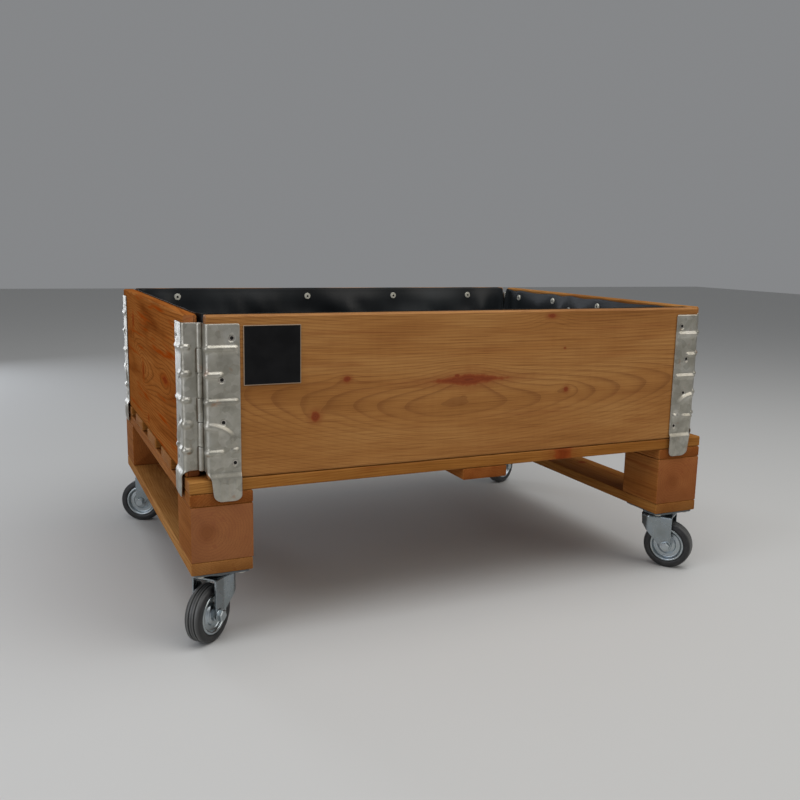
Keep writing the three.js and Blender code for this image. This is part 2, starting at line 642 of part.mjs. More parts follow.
function makeCasters() {
  const casters = new THREE.Group();
  for (const { name, side, end, heading } of CASTERS) {
    const caster = new THREE.Group();
    caster.position.set(side * SWIVEL_X, end * SWIVEL_Y, 0);
    caster.add(named(`caster_plate_${name}`, casterPlate(), ZINC_PLATE));
    caster.add(named(`swivel_race_${name}`, swivelRace(), ZINC_PLATE));
    caster.add(named(`kingpin_${name}`, kingpin(), ZINC_PLATE));
    const turning = new THREE.Group();
    turning.rotation.z = THREE.MathUtils.degToRad(heading);
    turning.add(named(`fork_${name}`, forkGeometry(), ZINC_PLATE));
    turning.add(named(`axle_${name}`, axleGeometry(), ZINC_PLATE));
    turning.add(named(`rim_${name}`, rimGeometry(), ZINC_PLATE));
    turning.add(named(`tyre_${name}`, tyreGeometry(), RUBBER));
    caster.add(turning);
    casters.add(caster);
  }
  return casters;
}

const planter = new THREE.Group();
planter.add(makePallet(), makeFrameBoards(), makeHinges(), makeLiner(), makeLabel(), makeCasters());

export default planter;
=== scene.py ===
"""Looks of a rolling planter: a low wooden frame with galvanised corner hinges and a black liner,
standing on a light pallet that runs on four swivel casters.

Blender works in metres. Sizes below are in millimetres, as a maker measures them, and MM turns
them into metres.
"""

import math

import bpy
import numpy as np
from mathutils import Matrix, Vector, geometry, noise


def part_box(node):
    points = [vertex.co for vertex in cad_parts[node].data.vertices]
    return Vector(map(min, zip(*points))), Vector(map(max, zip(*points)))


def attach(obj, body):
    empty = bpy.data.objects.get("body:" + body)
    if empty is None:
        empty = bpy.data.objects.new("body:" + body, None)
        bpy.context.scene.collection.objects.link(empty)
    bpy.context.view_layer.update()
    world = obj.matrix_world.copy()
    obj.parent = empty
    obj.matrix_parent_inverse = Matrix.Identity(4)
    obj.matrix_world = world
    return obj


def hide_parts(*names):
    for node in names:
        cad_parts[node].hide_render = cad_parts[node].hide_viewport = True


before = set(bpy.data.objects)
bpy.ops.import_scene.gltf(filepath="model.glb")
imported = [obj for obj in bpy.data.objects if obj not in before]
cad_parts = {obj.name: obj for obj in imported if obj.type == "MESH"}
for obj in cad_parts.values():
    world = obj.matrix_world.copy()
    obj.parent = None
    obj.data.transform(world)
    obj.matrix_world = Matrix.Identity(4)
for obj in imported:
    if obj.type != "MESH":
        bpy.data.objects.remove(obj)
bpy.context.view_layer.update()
scene = bpy.context.scene

MM = 0.001

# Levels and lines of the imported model
RIM = 421.6  # top of the frame boards
DECK_TOP = 219.1
HALF_LENGTH = 400.0
HALF_WIDTH = 300.0
FRAME_BOARD = 18.0
PIN_X, PIN_Y = 380.3, 280.3
LEAF_TOP = 411.6
LEAF_BOTTOM = 228.0
SWIVEL_X, SWIVEL_Y = 361.0, 260.0
# name, side along X, end along Y, and the way the wheel trails from +X in degrees
CORNERS = [
    ("front_left", -1, -1, 224.0),
    ("front_right", 1, -1, 306.0),
    ("rear_left", -1, 1, 152.0),
    ("rear_right", 1, 1, 28.0),
]


# ---------------------------------------------------------------- camera, light and floor


def make_camera():
    """The photograph's own view: about 1.5 m away, from the left front corner, half a metre up."""
    right = Vector((0.91285, -0.40785, 0.01916))
    up = Vector((0.0546, 0.16843, 0.9842))
    back = Vector((-0.40463, -0.89738, 0.17602))
    camera = bpy.data.cameras.new("camera")
    camera.sensor_width = 36.0
    camera.lens = 39.6
    holder = bpy.data.objects.new("camera", camera)
    turn = Matrix((right, up, back)).transposed().to_4x4()
    holder.matrix_world = Matrix.Translation((-0.59312, -1.34568, 0.51107)) @ turn
    scene.collection.objects.link(holder)
    scene.camera = holder


def make_light(name, size, power, place, target, colour="#ffffff"):
    lamp = bpy.data.lights.new(name, "AREA")
    lamp.shape = "RECTANGLE"
    lamp.size, lamp.size_y = size
    lamp.energy = power
    lamp.color = linear(colour)[:3]
    holder = bpy.data.objects.new(name, lamp)
    holder.location = place
    holder.rotation_mode = "QUATERNION"
    holder.rotation_quaternion = (Vector(target) - Vector(place)).to_track_quat("-Z", "Y")
    scene.collection.objects.link(holder)


def make_studio():
    make_light("softbox_above", (3.0, 1.8), 38, (0.2, -0.7, 2.3), (0, 0, 0.2))
    make_light("softbox_left", (1.1, 1.6), 13, (-2.2, -0.8, 0.95), (0, 0, 0.3), "#f4f7ff")
    make_light("softbox_front", (2.0, 1.4), 14, (1.8, -2.2, 1.8), (0.1, 0, 0.3), "#fff8ee")
    make_light("strip_rear_left", (0.6, 1.6), 11, (-1.2, 2.3, 0.75), (-0.4, -0.1, 0.3), "#eef4ff")
    world = bpy.data.worlds.new("studio")
    world.use_nodes = True
    world.node_tree.nodes["Background"].inputs["Color"].default_value = linear("#d9dbde")
    world.node_tree.nodes["Background"].inputs["Strength"].default_value = 0.34
    scene.world = world
    scene.view_settings.view_transform = "Standard"
    bpy.ops.mesh.primitive_plane_add(size=16, location=(0, 0, 0))
    floor = bpy.context.object
    floor.name = "studio_floor"
    floor.data.materials.append(painted_floor())


# ---------------------------------------------------------------- shader and mesh helpers


def linear(colour):
    """An sRGB hex colour as the linear RGBA that Blender takes."""
    shares = [int(colour[i : i + 2], 16) / 255 for i in (1, 3, 5)]
    return [s / 12.92 if s <= 0.04045 else ((s + 0.055) / 1.055) ** 2.4 for s in shares] + [1.0]


def add(tree, kind, inputs=None, out=0, stops=None, **settings):
    """One node with its settings, its inputs (a value or a link each) and a ramp's colour stops.
    Gives the output that out names or numbers, if the node has any."""
    made = tree.nodes.new(kind)
    for name, value in settings.items():
        setattr(made, name, value)
    for key, value in (inputs or {}).items():
        if isinstance(value, bpy.types.NodeSocket):
            tree.links.new(value, made.inputs[key])
        else:
            made.inputs[key].default_value = value
    if stops:
        first, last = made.color_ramp.elements
        first.position, first.color = stops[0][0], linear(stops[0][1])
        last.position, last.color = stops[-1][0], linear(stops[-1][1])
        for place, colour in stops[1:-1]:
            made.color_ramp.elements.new(place).color = linear(colour)
    return made.outputs[out] if len(made.outputs) else None


def new_finish(name):
    made = bpy.data.materials.new(name)
    made.use_nodes = True
    tree = made.node_tree
    tree.nodes.clear()
    surface = add(tree, "ShaderNodeBsdfPrincipled")
    add(tree, "ShaderNodeOutputMaterial", {"Surface": surface})
    return made, tree, surface.node


def clouded(name, scale, detail, stops, ragged=0.5):
    """A new finish and, on the piece's own coordinates, a cloud of noise and the tint it gives."""
    made, tree, surface = new_finish(name)
    place = add(tree, "ShaderNodeTexCoord", out="Object")
    inputs = {"Vector": place, "Scale": scale, "Detail": detail, "Roughness": ragged}
    cloud = add(tree, "ShaderNodeTexNoise", inputs)
    tint = add(tree, "ShaderNodeValToRGB", {"Fac": cloud}, stops=stops)
    return made, tree, surface, place, cloud, tint


def layered(tree, colour, *layers):
    """A colour with others laid over it in turn, each with its share and its way of mixing. Each
    colour is a link or a hex value."""
    for share, over, way in layers:
        first, second = (linear(c) if isinstance(c, str) else c for c in (colour, over))
        inputs = {"Factor": share, "A": first, "B": second}
        colour = add(tree, "ShaderNodeMix", inputs, 2, data_type="RGBA", blend_type=way)
    return colour


def dress(tree, surface, colour, gloss, relief=None):
    """Links a surface's colour, roughness and fine relief. gloss is the link that the roughness
    follows, two of its values and the roughness at each. relief is a height, a strength and a
    depth in millimetres."""
    tree.links.new(colour, surface.inputs["Base Color"])
    keys = ("Value", "From Min", "From Max", "To Min", "To Max")
    roughness = add(tree, "ShaderNodeMapRange", dict(zip(keys, gloss)))
    tree.links.new(roughness, surface.inputs["Roughness"])
    if relief:
        height, strength, depth = relief
        inputs = {"Height": height, "Strength": strength, "Distance": depth * MM}
        tree.links.new(add(tree, "ShaderNodeBump", inputs), surface.inputs["Normal"])


def new_piece(name, node, shape, body, slot, finish, smooth_angle, values=None):
    """A mesh from a shape's points, in millimetres, and faces. It stands for a node, rides on a body and
    takes a finish; slot is not used. values holds what the finish reads at each point: a name and its
    numbers, one or three each."""
    points, faces = shape
    mesh = bpy.data.meshes.new(name)
    mesh.from_pydata((np.asarray(points, float) * MM).tolist(), [], [tuple(f) for f in faces])
    mesh.validate()
    for key, numbers in (values or {}).items():
        numbers = np.asarray(numbers, np.float32)
        kind = "FLOAT_VECTOR" if numbers.ndim == 2 else "FLOAT"
        field = mesh.attributes.new(key, kind, "POINT")
        field.data.foreach_set("vector" if numbers.ndim == 2 else "value", numbers.ravel())
    mesh.shade_smooth()
    mesh.set_sharp_from_angle(angle=math.radians(smooth_angle))
    mesh.materials.append(finish)
    made = bpy.data.objects.new(name, mesh)
    scene.collection.objects.link(made)
    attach(made, body)
    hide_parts(node)
    return made


def merged(parts):
    """Several (points, faces) as one."""
    points, faces, start = [], [], 0
    for some_points, some_faces in parts:
        points.append(np.asarray(some_points, float))
        faces += [tuple(i + start for i in face) for face in some_faces]
        start += len(some_points)
    return np.vstack(points), faces


def lathe(profile, steps, along="Z", closed=True):
    """Turns a profile of (radius, height) about an axis. Points that lie on the axis become one.
    The profile runs upwards on the outside, so that the faces point out."""
    points, rings = [], []
    for radius, height in profile:
        if radius < 1e-6:
            rings.append([len(points)] * steps)
            points.append((0.0, 0.0, height))
            continue
        rings.append(list(range(len(points), len(points) + steps)))
        for i in range(steps):
            angle = 2 * math.pi * i / steps
            points.append((radius * math.cos(angle), radius * math.sin(angle), height))
    faces = []
    count = len(profile)
    for k in range(count if closed else count - 1):
        low, high = rings[k], rings[(k + 1) % count]
        for i in range(steps):
            j = (i + 1) % steps
            face = list(dict.fromkeys([low[i], low[j], high[j], high[i]]))
            if len(face) > 2:
                faces.append(tuple(face))
    points = np.array(points)
    if along == "Y":
        points = points[:, [0, 2, 1]] * np.array([-1.0, 1.0, 1.0])
    return points, faces


def softened(profile, cut, closed=True):
    """Replaces each corner of a profile by three points, at most cut away from it."""
    corners = [np.array(p, float) for p in profile]
    result = []
    for i, here in enumerate(corners):
        if not closed and i in (0, len(corners) - 1):
            result.append(tuple(here))
            continue
        before, after = corners[i - 1], corners[(i + 1) % len(corners)]
        reach_a = min(cut, np.linalg.norm(before - here) * 0.45)
        reach_b = min(cut, np.linalg.norm(after - here) * 0.45)
        a = here + (before - here) / np.linalg.norm(before - here) * reach_a
        b = here + (after - here) / np.linalg.norm(after - here) * reach_b
        result += [tuple(a), tuple((a + b + 2 * here) / 4), tuple(b)]
    return result


def smooth_step(low, high, value):
    share = np.clip((np.asarray(value, float) - low) / (high - low), 0, 1)
    return share * share * (3 - 2 * share)


def arc(centre, radius, start, end, count):
    """Points on a circle from one angle to another, in degrees."""
    angles = np.radians(np.linspace(start, end, count))
    return [(centre[0] + radius * math.cos(a), centre[1] + radius * math.sin(a)) for a in angles]


def finely(loop, pitch):
    """A closed loop with points at most a pitch apart."""
    result = []
    for i, here in enumerate(loop):
        there = loop[(i + 1) % len(loop)]
        gap = math.dist(here, there)
        if gap < 1e-6:
            continue
        count = max(1, math.ceil(gap / pitch))
        for k in range(count):
            share = k / count
            x = here[0] + (there[0] - here[0]) * share
            result.append((x, here[1] + (there[1] - here[1]) * share))
    return result


def is_inside(points, loop):
    """For each point, whether it lies inside a closed loop."""
    x, y = points[:, 0], points[:, 1]
    inside = np.zeros(len(points), bool)
    for i, (x1, y1) in enumerate(loop):
        x2, y2 = loop[(i + 1) % len(loop)]
        crosses = (y1 > y) != (y2 > y)
        with np.errstate(divide="ignore", invalid="ignore"):
            at = (x2 - x1) * (y - y1) / (y2 - y1) + x1
        inside ^= crosses & (x < at)
    return inside


def loop_distance(points, loop):
    """For each point, how far it is from the nearest point of a loop."""
    nearest = np.full(len(points), 1e9)
    for corner in loop:
        nearest = np.minimum(nearest, np.hypot(*(points - np.array(corner)).T))
    return nearest


def pressed_sheet(outline, holes, lines_a, lines_b, place, thickness, sink=0.0):
    """A sheet cut to an outline with round holes (a, b, radius), then bent and pressed to shape.
    place takes the flat points (a, b) and gives the outer face's points and its normals. The cut
    edges are slightly rounded. sink draws the holes' back edge in, as for countersunk screws."""
    pitch = 1.3
    border = finely(outline, pitch)
    loops = [border]
    for a, b, radius in holes:
        loops.append(arc((a, b), radius, 0, 345, 24))
    grid = np.array([(a, b) for a in lines_a for b in lines_b])
    keep = is_inside(grid, border) & (loop_distance(grid, border) > 0.55 * pitch)
    for a, b, radius in holes:
        keep &= np.hypot(grid[:, 0] - a, grid[:, 1] - b) > radius + 0.5
    grid = grid[keep]
    corners, edges = [], []
    for loop in loops:
        start = len(corners)
        corners += loop
        edges += [(start + i, start + (i + 1) % len(loop)) for i in range(len(loop))]
    corners += [tuple(p) for p in grid]
    made = geometry.delaunay_2d_cdt([Vector(p) for p in corners], edges, [], 1, 1e-5)
    flat = np.array([tuple(p) for p in made[0]])
    front = []
    for face in made[2]:
        middle = flat[list(face)].mean(0)
        if any(math.hypot(middle[0] - a, middle[1] - b) < r * 0.98 for a, b, r in holes):
            continue
        (x1, y1), (x2, y2), (x3, y3) = flat[list(face)]
        area = (x2 - x1) * (y3 - y1) - (x3 - x1) * (y2 - y1)
        front.append(tuple(face) if area > 0 else tuple(reversed(face)))
    used = dict.fromkeys((face[i], face[(i + 1) % 3]) for face in front for i in range(3))
    rim = [(i, j) for i, j in used if (j, i) not in used]
    out = np.zeros_like(flat)
    for i, j in rim:
        along = flat[j] - flat[i]
        side = np.array([along[1], -along[0]]) / (np.hypot(*along) + 1e-12)
        out[i] += side
        out[j] += side
    out /= np.maximum(np.hypot(out[:, 0], out[:, 1]), 1e-9)[:, None]
    at_rim = sorted({i for edge in rim for i in edge})
    slot = {i: k for k, i in enumerate(at_rim)}
    round_off = min(0.35, thickness * 0.3)
    back_flat = flat - out * round_off
    for a, b, radius in holes:
        near = [i for i in at_rim if abs(math.hypot(flat[i][0] - a, flat[i][1] - b) - radius) < 0.1]
        back_flat[near] += out[near] * (sink + round_off)
    count = len(flat)
    face_points, _ = place(flat - out * round_off)
    back_points, back_normals = place(back_flat)
    rim_points, rim_normals = place(flat[at_rim])
    back_rim_points, back_rim_normals = place((back_flat + out * round_off)[at_rim])
    points = np.vstack([
        face_points,
        back_points - back_normals * thickness,
        rim_points - rim_normals * round_off,
        back_rim_points - back_rim_normals * (thickness - round_off),
    ])
    faces = list(front)
    faces += [tuple(i + count for i in reversed(face)) for face in front]
    upper, lower = 2 * count, 2 * count + len(at_rim)
    for i, j in rim:
        a, b = slot[i], slot[j]
        faces.append((j, i, upper + a, upper + b))
        faces.append((upper + b, upper + a, lower + a, lower + b))
        faces.append((lower + b, lower + a, i + count, j + count))
    return points, faces


def placed(points, faces, along, out, x, y):
    """Puts a shape at a corner of the plan: its x and y run along two directions there. A
    mirrored shape has its faces turned over."""
    turn = np.array([[along[0], out[0], 0], [along[1], out[1], 0], [0, 0, 1]], float)
    moved = np.asarray(points) @ turn.T + np.array([x, y, 0.0])
    if np.linalg.det(turn) < 0:
        faces = [tuple(reversed(face)) for face in faces]
    return moved, faces


def turned_about_z(points, degrees, x, y):
    a = math.radians(degrees)
    turn = np.array([[math.cos(a), -math.sin(a), 0], [math.sin(a), math.cos(a), 0], [0, 0, 1]])
    return np.asarray(points) @ turn.T + np.array([x, y, 0.0])


# ---------------------------------------------------------------- finishes


def softwood(
    name, early, late, knots=(), ring=3.6, shift=0.0, wander=1.0, streak="#7e3f1c", streaks=0.5,
    mottle="#d4c2a8", cut="#8f6244", shine=0.02, seed=0.0
):
    """Sawn and oiled larch or pine. The growth rings are cut through as in a real board: pale
    early wood that darkens into a soft late line, wandering with the trunk. Dark knots with a
    reddish halo, resin streaks, and end grain that drank more oil. Lengths are millimetres."""
    made, tree, surface = new_finish(name)
    grain = add(tree, "ShaderNodeAttribute", out="Vector", attribute_name="grain")
    pith = add(tree, "ShaderNodeAttribute", out="Vector", attribute_name="pith")
    state = add(tree, "ShaderNodeAttribute", out="Vector", attribute_name="state")
    bulge, figure, ends = add(tree, "ShaderNodeSeparateXYZ", {0: state}).node.outputs
    fields = {}
    # what it is, waves per millimetre along the grain and across it, and detail
    for key, along, across, detail in (
        ("drift", 0.0035, 0.018, 2.0),
        ("ripple", 0.02, 0.09, 2.0),
        ("fibre", 0.016, 0.8, 3.0),
        ("pore", 0.07, 2.6, 2.0),
        ("patch", 0.004, 0.022, 2.0),
        ("resin", 0.007, 0.1, 3.0),
        ("sawn", 0.11, 0.012, 2.0),
    ):
        inputs = {0: grain, 1: (along, across, across)}
        waves = add(tree, "ShaderNodeVectorMath", inputs, operation="MULTIPLY")
        # each board and each field reads another part of the noise
        elsewhere = (seed * 7.3, seed * 3.1, len(fields) * 5.7)
        moved = add(tree, "ShaderNodeVectorMath", {0: waves, 1: elsewhere}, operation="ADD")
        inputs = {"Vector": moved, "Scale": 1.0, "Detail": detail, "Roughness": 0.55}
        fields[key] = add(tree, "ShaderNodeTexNoise", inputs)
    section = add(tree, "ShaderNodeVectorMath", {0: pith, 1: (0, 1, 1)}, operation="MULTIPLY")
    to_pith = add(tree, "ShaderNodeVectorMath", {0: section}, "Value", operation="LENGTH")
    radius = add(tree, "ShaderNodeMath", {0: to_pith, 1: bulge}, operation="ADD")
    radius = add(tree, "ShaderNodeMath", {0: radius, 1: shift}, operation="ADD")
    for key, amount in (("drift", 2.6 * wander), ("ripple", 0.9 * wander)):
        inputs = {0: fields[key], 1: amount, 2: radius}
        radius = add(tree, "ShaderNodeMath", inputs, operation="MULTIPLY_ADD")
    years = add(tree, "ShaderNodeMath", {0: radius, 1: 0.3 / ring}, operation="MULTIPLY")
    inputs = {"W": years, "Scale": 1.0, "Detail": 1.0}
    uneven = add(tree, "ShaderNodeTexNoise", inputs, noise_dimensions="1D")
    inputs = {0: uneven, 1: 0.9 * ring, 2: radius}
    radius = add(tree, "ShaderNodeMath", inputs, operation="MULTIPLY_ADD")
    year = add(tree, "ShaderNodeMath", {0: radius, 1: ring}, operation="DIVIDE")
    year = add(tree, "ShaderNodeMath", {0: year}, operation="FRACT")
    stops = [(0.0, "#626262"), (0.16, "#1a1a1a"), (0.42, "#242424"), (0.7, "#7a7a7a"), (0.88, "#d6d6d6")]
    late_wood = add(tree, "ShaderNodeValToRGB", {"Fac": year}, stops=stops)
    strength = add(tree, "ShaderNodeMapRange", {"Value": fields["patch"], "To Min": 0.5, "To Max": 1.35})
    strength = add(tree, "ShaderNodeMath", {0: strength, 1: figure}, operation="MULTIPLY", use_clamp=True)
    lines = add(tree, "ShaderNodeMath", {0: late_wood, 1: strength}, operation="MULTIPLY")
    colour = layered(tree, early, (lines, late, "MIX"))
    # broad lighter and darker areas, fine fibres, and the faint marks of the saw across the grain
    for key, amount, stops in (
        ("patch", 0.9, [(0.3, mottle), (0.5, "#f0e6da"), (0.68, "#ffffff")]),
        ("fibre", 0.5, [(0.34, "#b8997c"), (0.5, "#f2ebe2"), (0.7, "#ffffff")]),
        ("sawn", 0.12, [(0.35, "#e0d6ca"), (0.6, "#ffffff")]),
    ):
        tone = add(tree, "ShaderNodeValToRGB", {"Fac": fields[key]}, stops=stops)
        colour = layered(tree, colour, (amount, tone, "MULTIPLY"))
    inputs = {"Value": fields["resin"], "From Min": 0.56, "From Max": 0.74, "To Max": streaks}
    red = add(tree, "ShaderNodeMapRange", inputs, interpolation_type="SMOOTHSTEP")
    colour = layered(tree, colour, (red, streak, "MIX"))
    if knots:
        nearest = knot_distance(tree, grain, knots)
        inputs = {"Value": nearest, "From Min": 1.0, "From Max": 2.5, "To Min": 0.5, "To Max": 0.0}
        halo = add(tree, "ShaderNodeMapRange", inputs, interpolation_type="SMOOTHSTEP")
        inputs = {"Value": nearest, "From Min": 0.95, "From Max": 1.3, "To Min": 0.9, "To Max": 0.0}
        core = add(tree, "ShaderNodeMapRange", inputs, interpolation_type="SMOOTHSTEP")
        stops = [(0.3, "#6a2a12"), (0.55, "#843818"), (0.75, "#783214"), (1.0, "#8a401c")]
        heart = add(tree, "ShaderNodeValToRGB", {"Fac": nearest}, stops=stops)
        colour = layered(tree, colour, (halo, streak, "MIX"), (core, heart, "MIX"))
    # sawn ends are darker and redder, most of all near the pith; the arrises are paler, part wear and part
    # painted highlight
    inputs = {"Value": to_pith, "From Min": 3.0, "From Max": 19.0, "To Min": 0.65, "To Max": 0.0}
    heartwood = add(tree, "ShaderNodeMapRange", inputs, interpolation_type="SMOOTHSTEP")
    heartwood = add(tree, "ShaderNodeMath", {0: heartwood, 1: fields["fibre"]}, operation="MULTIPLY")
    end_grain = layered(tree, colour, (0.5, cut, "MIX"), (heartwood, "#5e2810", "MIX"))
    drunk = add(tree, "ShaderNodeMapRange", {"Value": ends, "To Max": 0.85})
    # painted highlight: the arrises pale towards a light tan, standing partly for wear and partly for
    # light caught on the edges
    inputs = {"Value": ends, "From Min": 0.0, "From Max": -1.0, "To Min": 0.0, "To Max": 0.15}
    worn_and_highlit = add(tree, "ShaderNodeMapRange", inputs)
    colour = layered(tree, colour, (drunk, end_grain, "MIX"), (worn_and_highlit, "#c49660", "MIX"))
    surface.inputs["Specular IOR Level"].default_value = shine
    inputs = {0: fields["pore"], 1: 0.6, 2: fields["fibre"]}
    relief = add(tree, "ShaderNodeMath", inputs, operation="MULTIPLY_ADD")
    relief = add(tree, "ShaderNodeMath", {0: lines, 1: 0.5, 2: relief}, operation="MULTIPLY_ADD")
    gloss = (fields["fibre"], 0.3, 0.7, 0.8 - shine, 0.68 - shine)
    dress(tree, surface, colour, gloss, (relief, 0.4, 0.3))
    return made


def knot_distance(tree, grain, knots):
    """How far a point is from the nearest knot, as a share of the knot's own size. A round knot
    is an ellipse, and a long one, cut along its branch, a spindle with pointed ends."""
    frayed = add(tree, "ShaderNodeTexNoise", {"Vector": grain, "Scale": 0.14, "Detail": 3.0})
    nearest = None
    for u, v, half_long, half_across in knots:
        away = add(tree, "ShaderNodeVectorMath", {0: grain, 1: (u, v, 0)}, operation="SUBTRACT")
        share = (1 / half_long, 1 / half_across, 0)
        away = add(tree, "ShaderNodeVectorMath", {0: away, 1: share}, operation="MULTIPLY")
        if half_long > 2.5 * half_across:
            away = add(tree, "ShaderNodeVectorMath", {0: away}, operation="ABSOLUTE")
            inputs = {0: away, 1: (1, 1, 0)}
            away = add(tree, "ShaderNodeVectorMath", inputs, "Value", operation="DOT_PRODUCT")
        else:
            away = add(tree, "ShaderNodeVectorMath", {0: away}, "Value", operation="LENGTH")
        if nearest is not None:
            away = add(tree, "ShaderNodeMath", {0: nearest, 1: away}, operation="MINIMUM")
        nearest = away
    return add(tree, "ShaderNodeMath", {0: frayed, 1: 0.6, 2: nearest}, operation="MULTIPLY_ADD")


def galvanised_steel():
    """Hot-dip galvanised sheet: satin zinc with a spangle of 8 to 14 mm crystals that differ only
    a little, a milky bloom, a few brown handling stains, and a fine orange-peel skin."""
    stops = [(0.3, "#a39f95"), (0.5, "#bab6ab"), (0.7, "#cbc9c2")]
    made, tree, surface, place, _, tint = clouded("hot_dip_galvanised_sheet", 30.0, 6.0, stops, 0.6)
    crumple = add(tree, "ShaderNodeTexNoise", {"Vector": place, "Scale": 130.0, "Detail": 3.0}, "Color")
    inputs = {0: crumple, 1: (0.006, 0.006, 0.006), 2: place}
    ragged = add(tree, "ShaderNodeVectorMath", inputs, operation="MULTIPLY_ADD")
    spangle = add(tree, "ShaderNodeTexVoronoi", {"Vector": ragged, "Scale": 105.0}, "Color")
    crystal = add(tree, "ShaderNodeSeparateColor", {0: spangle}).node.outputs
    stops = [(0.0, "#dadad6"), (0.6, "#f4f4f2"), (1.0, "#ffffff")]
    lean = add(tree, "ShaderNodeValToRGB", {"Fac": crystal["Red"]}, stops=stops)
    stain = add(tree, "ShaderNodeTexNoise", {"Vector": place, "Scale": 62.0, "Detail": 4.0})
    inputs = {"Value": stain, "From Min": 0.65, "From Max": 0.76, "To Max": 0.5}
    stained = add(tree, "ShaderNodeMapRange", inputs)
    colour = layered(tree, tint, (0.85, lean, "MULTIPLY"), (stained, "#a5704a", "MIX"))
    surface.inputs["Metallic"].default_value = 0.85
    peel = add(tree, "ShaderNodeTexNoise", {"Vector": place, "Scale": 480.0, "Detail": 3.0})
    dress(tree, surface, colour, (crystal["Green"], 0.0, 1.0, 0.33, 0.43), (peel, 0.35, 0.3))
    return made


def zinc_plated_steel(name, base, rough, metal=1.0):
    """Pressed steel with a bright, faintly blue zinc plating, a little cloudy from handling."""
    stops = [(0.3, "#eeeeea"), (0.55, "#ffffff"), (0.75, "#f4f8ff")]
    made, tree, surface, place, cloud, tint = clouded(name, 42.0, 3.0, stops)
    colour = layered(tree, base, (1.0, tint, "MULTIPLY"))
    surface.inputs["Metallic"].default_value = metal
    scratch = add(tree, "ShaderNodeTexNoise", {"Vector": place, "Scale": 700.0, "Detail": 2.0})
    dress(tree, surface, colour, (cloud, 0.3, 0.7, *rough), (scratch, 0.05, 0.1))
    return made


def black_rubber():
    """Moulded rubber tyre: matt black, with a lighter grey on the groove edges and shoulders, partly dust
    and partly a painted highlight.
    """
    stops = [(0.35, "#19191b"), (0.55, "#242425"), (0.75, "#3a3938")]
    made, tree, surface, place, dust, tint = clouded("moulded_black_rubber", 75.0, 6.0, stops, 0.7)
    rubbed = add(tree, "ShaderNodeAttribute", out="Fac", attribute_name="rubbed")
    colour = layered(tree, tint, (rubbed, "#666664", "MIX"))
    grit = add(tree, "ShaderNodeTexNoise", {"Vector": place, "Scale": 900.0, "Detail": 2.0})
    dress(tree, surface, colour, (dust, 0.35, 0.7, 0.38, 0.56), (grit, 0.25, 0.15))
    return made


def pond_membrane():
    """Extruded black polyethylene membrane, a slate grey where light grazes its fine emboss."""
    stops = [(0.3, "#131517"), (0.55, "#1b1e20"), (0.75, "#24282a")]
    made, tree, surface, place, haze, tint = clouded("polyethylene_membrane", 9.0, 5.0, stops)
    surface.inputs["Specular IOR Level"].default_value = 0.28
    emboss = add(tree, "ShaderNodeTexVoronoi", {"Vector": place, "Scale": 520.0}, feature="SMOOTH_F1")
    dress(tree, surface, tint, (haze, 0.3, 0.7, 0.3, 0.44), (emboss, 0.2, 0.2))
    return made


def black_acrylic():
    """Cut acrylic plate: near black, satin, with faint handling marks and a pale cut edge."""
    stops = [(0.35, "#08080a"), (0.7, "#111113")]
    made, tree, surface, _, marks, tint = clouded("satin_black_acrylic", 55.0, 6.0, stops)
    spot = add(tree, "ShaderNodeAttribute", out="Vector", attribute_name="spot")
    spot = add(tree, "ShaderNodeVectorMath", {0: spot}, operation="ABSOLUTE")
    across, up, _ = add(tree, "ShaderNodeSeparateXYZ", {0: spot}).node.outputs
    outward = add(tree, "ShaderNodeMath", {0: across, 1: up}, operation="MAXIMUM")
    rim = add(tree, "ShaderNodeMapRange", {"Value": outward, "From Min": 0.968, "From Max": 0.98})
    surface.inputs["Specular IOR Level"].default_value = 0.2
    colour = layered(tree, tint, (rim, "#a08a74", "MIX"))
    dress(tree, surface, colour, (marks, 0.3, 0.7, 0.32, 0.44))
    return made


def dark_recess():
    """Dirt and shade in a screw's drive recess."""
    stops = [(0.3, "#0d0a08"), (0.7, "#1b1512")]
    made, tree, surface, _, _, tint = clouded("screw_recess_grime", 900.0, 2.0, stops)
    tree.links.new(tint, surface.inputs["Base Color"])
    surface.inputs["Roughness"].default_value = 0.7
    return made


def painted_floor():
    """A plain pale studio floor."""
    made, _, surface = new_finish("studio_floor_paint")
    surface.inputs["Base Color"].default_value = linear("#c9c9c7")
    surface.inputs["Roughness"].default_value = 0.75
    return made


# ---------------------------------------------------------------- wood


BOARD_BODIES = {"frame_wood": "planter_frame", "pallet_wood": "pallet"}
END_ROOM = 2.2  # from a board's end to the first even station
ROUND_EDGE = 0.9  # a side's mesh is fine this far from its rounded corners


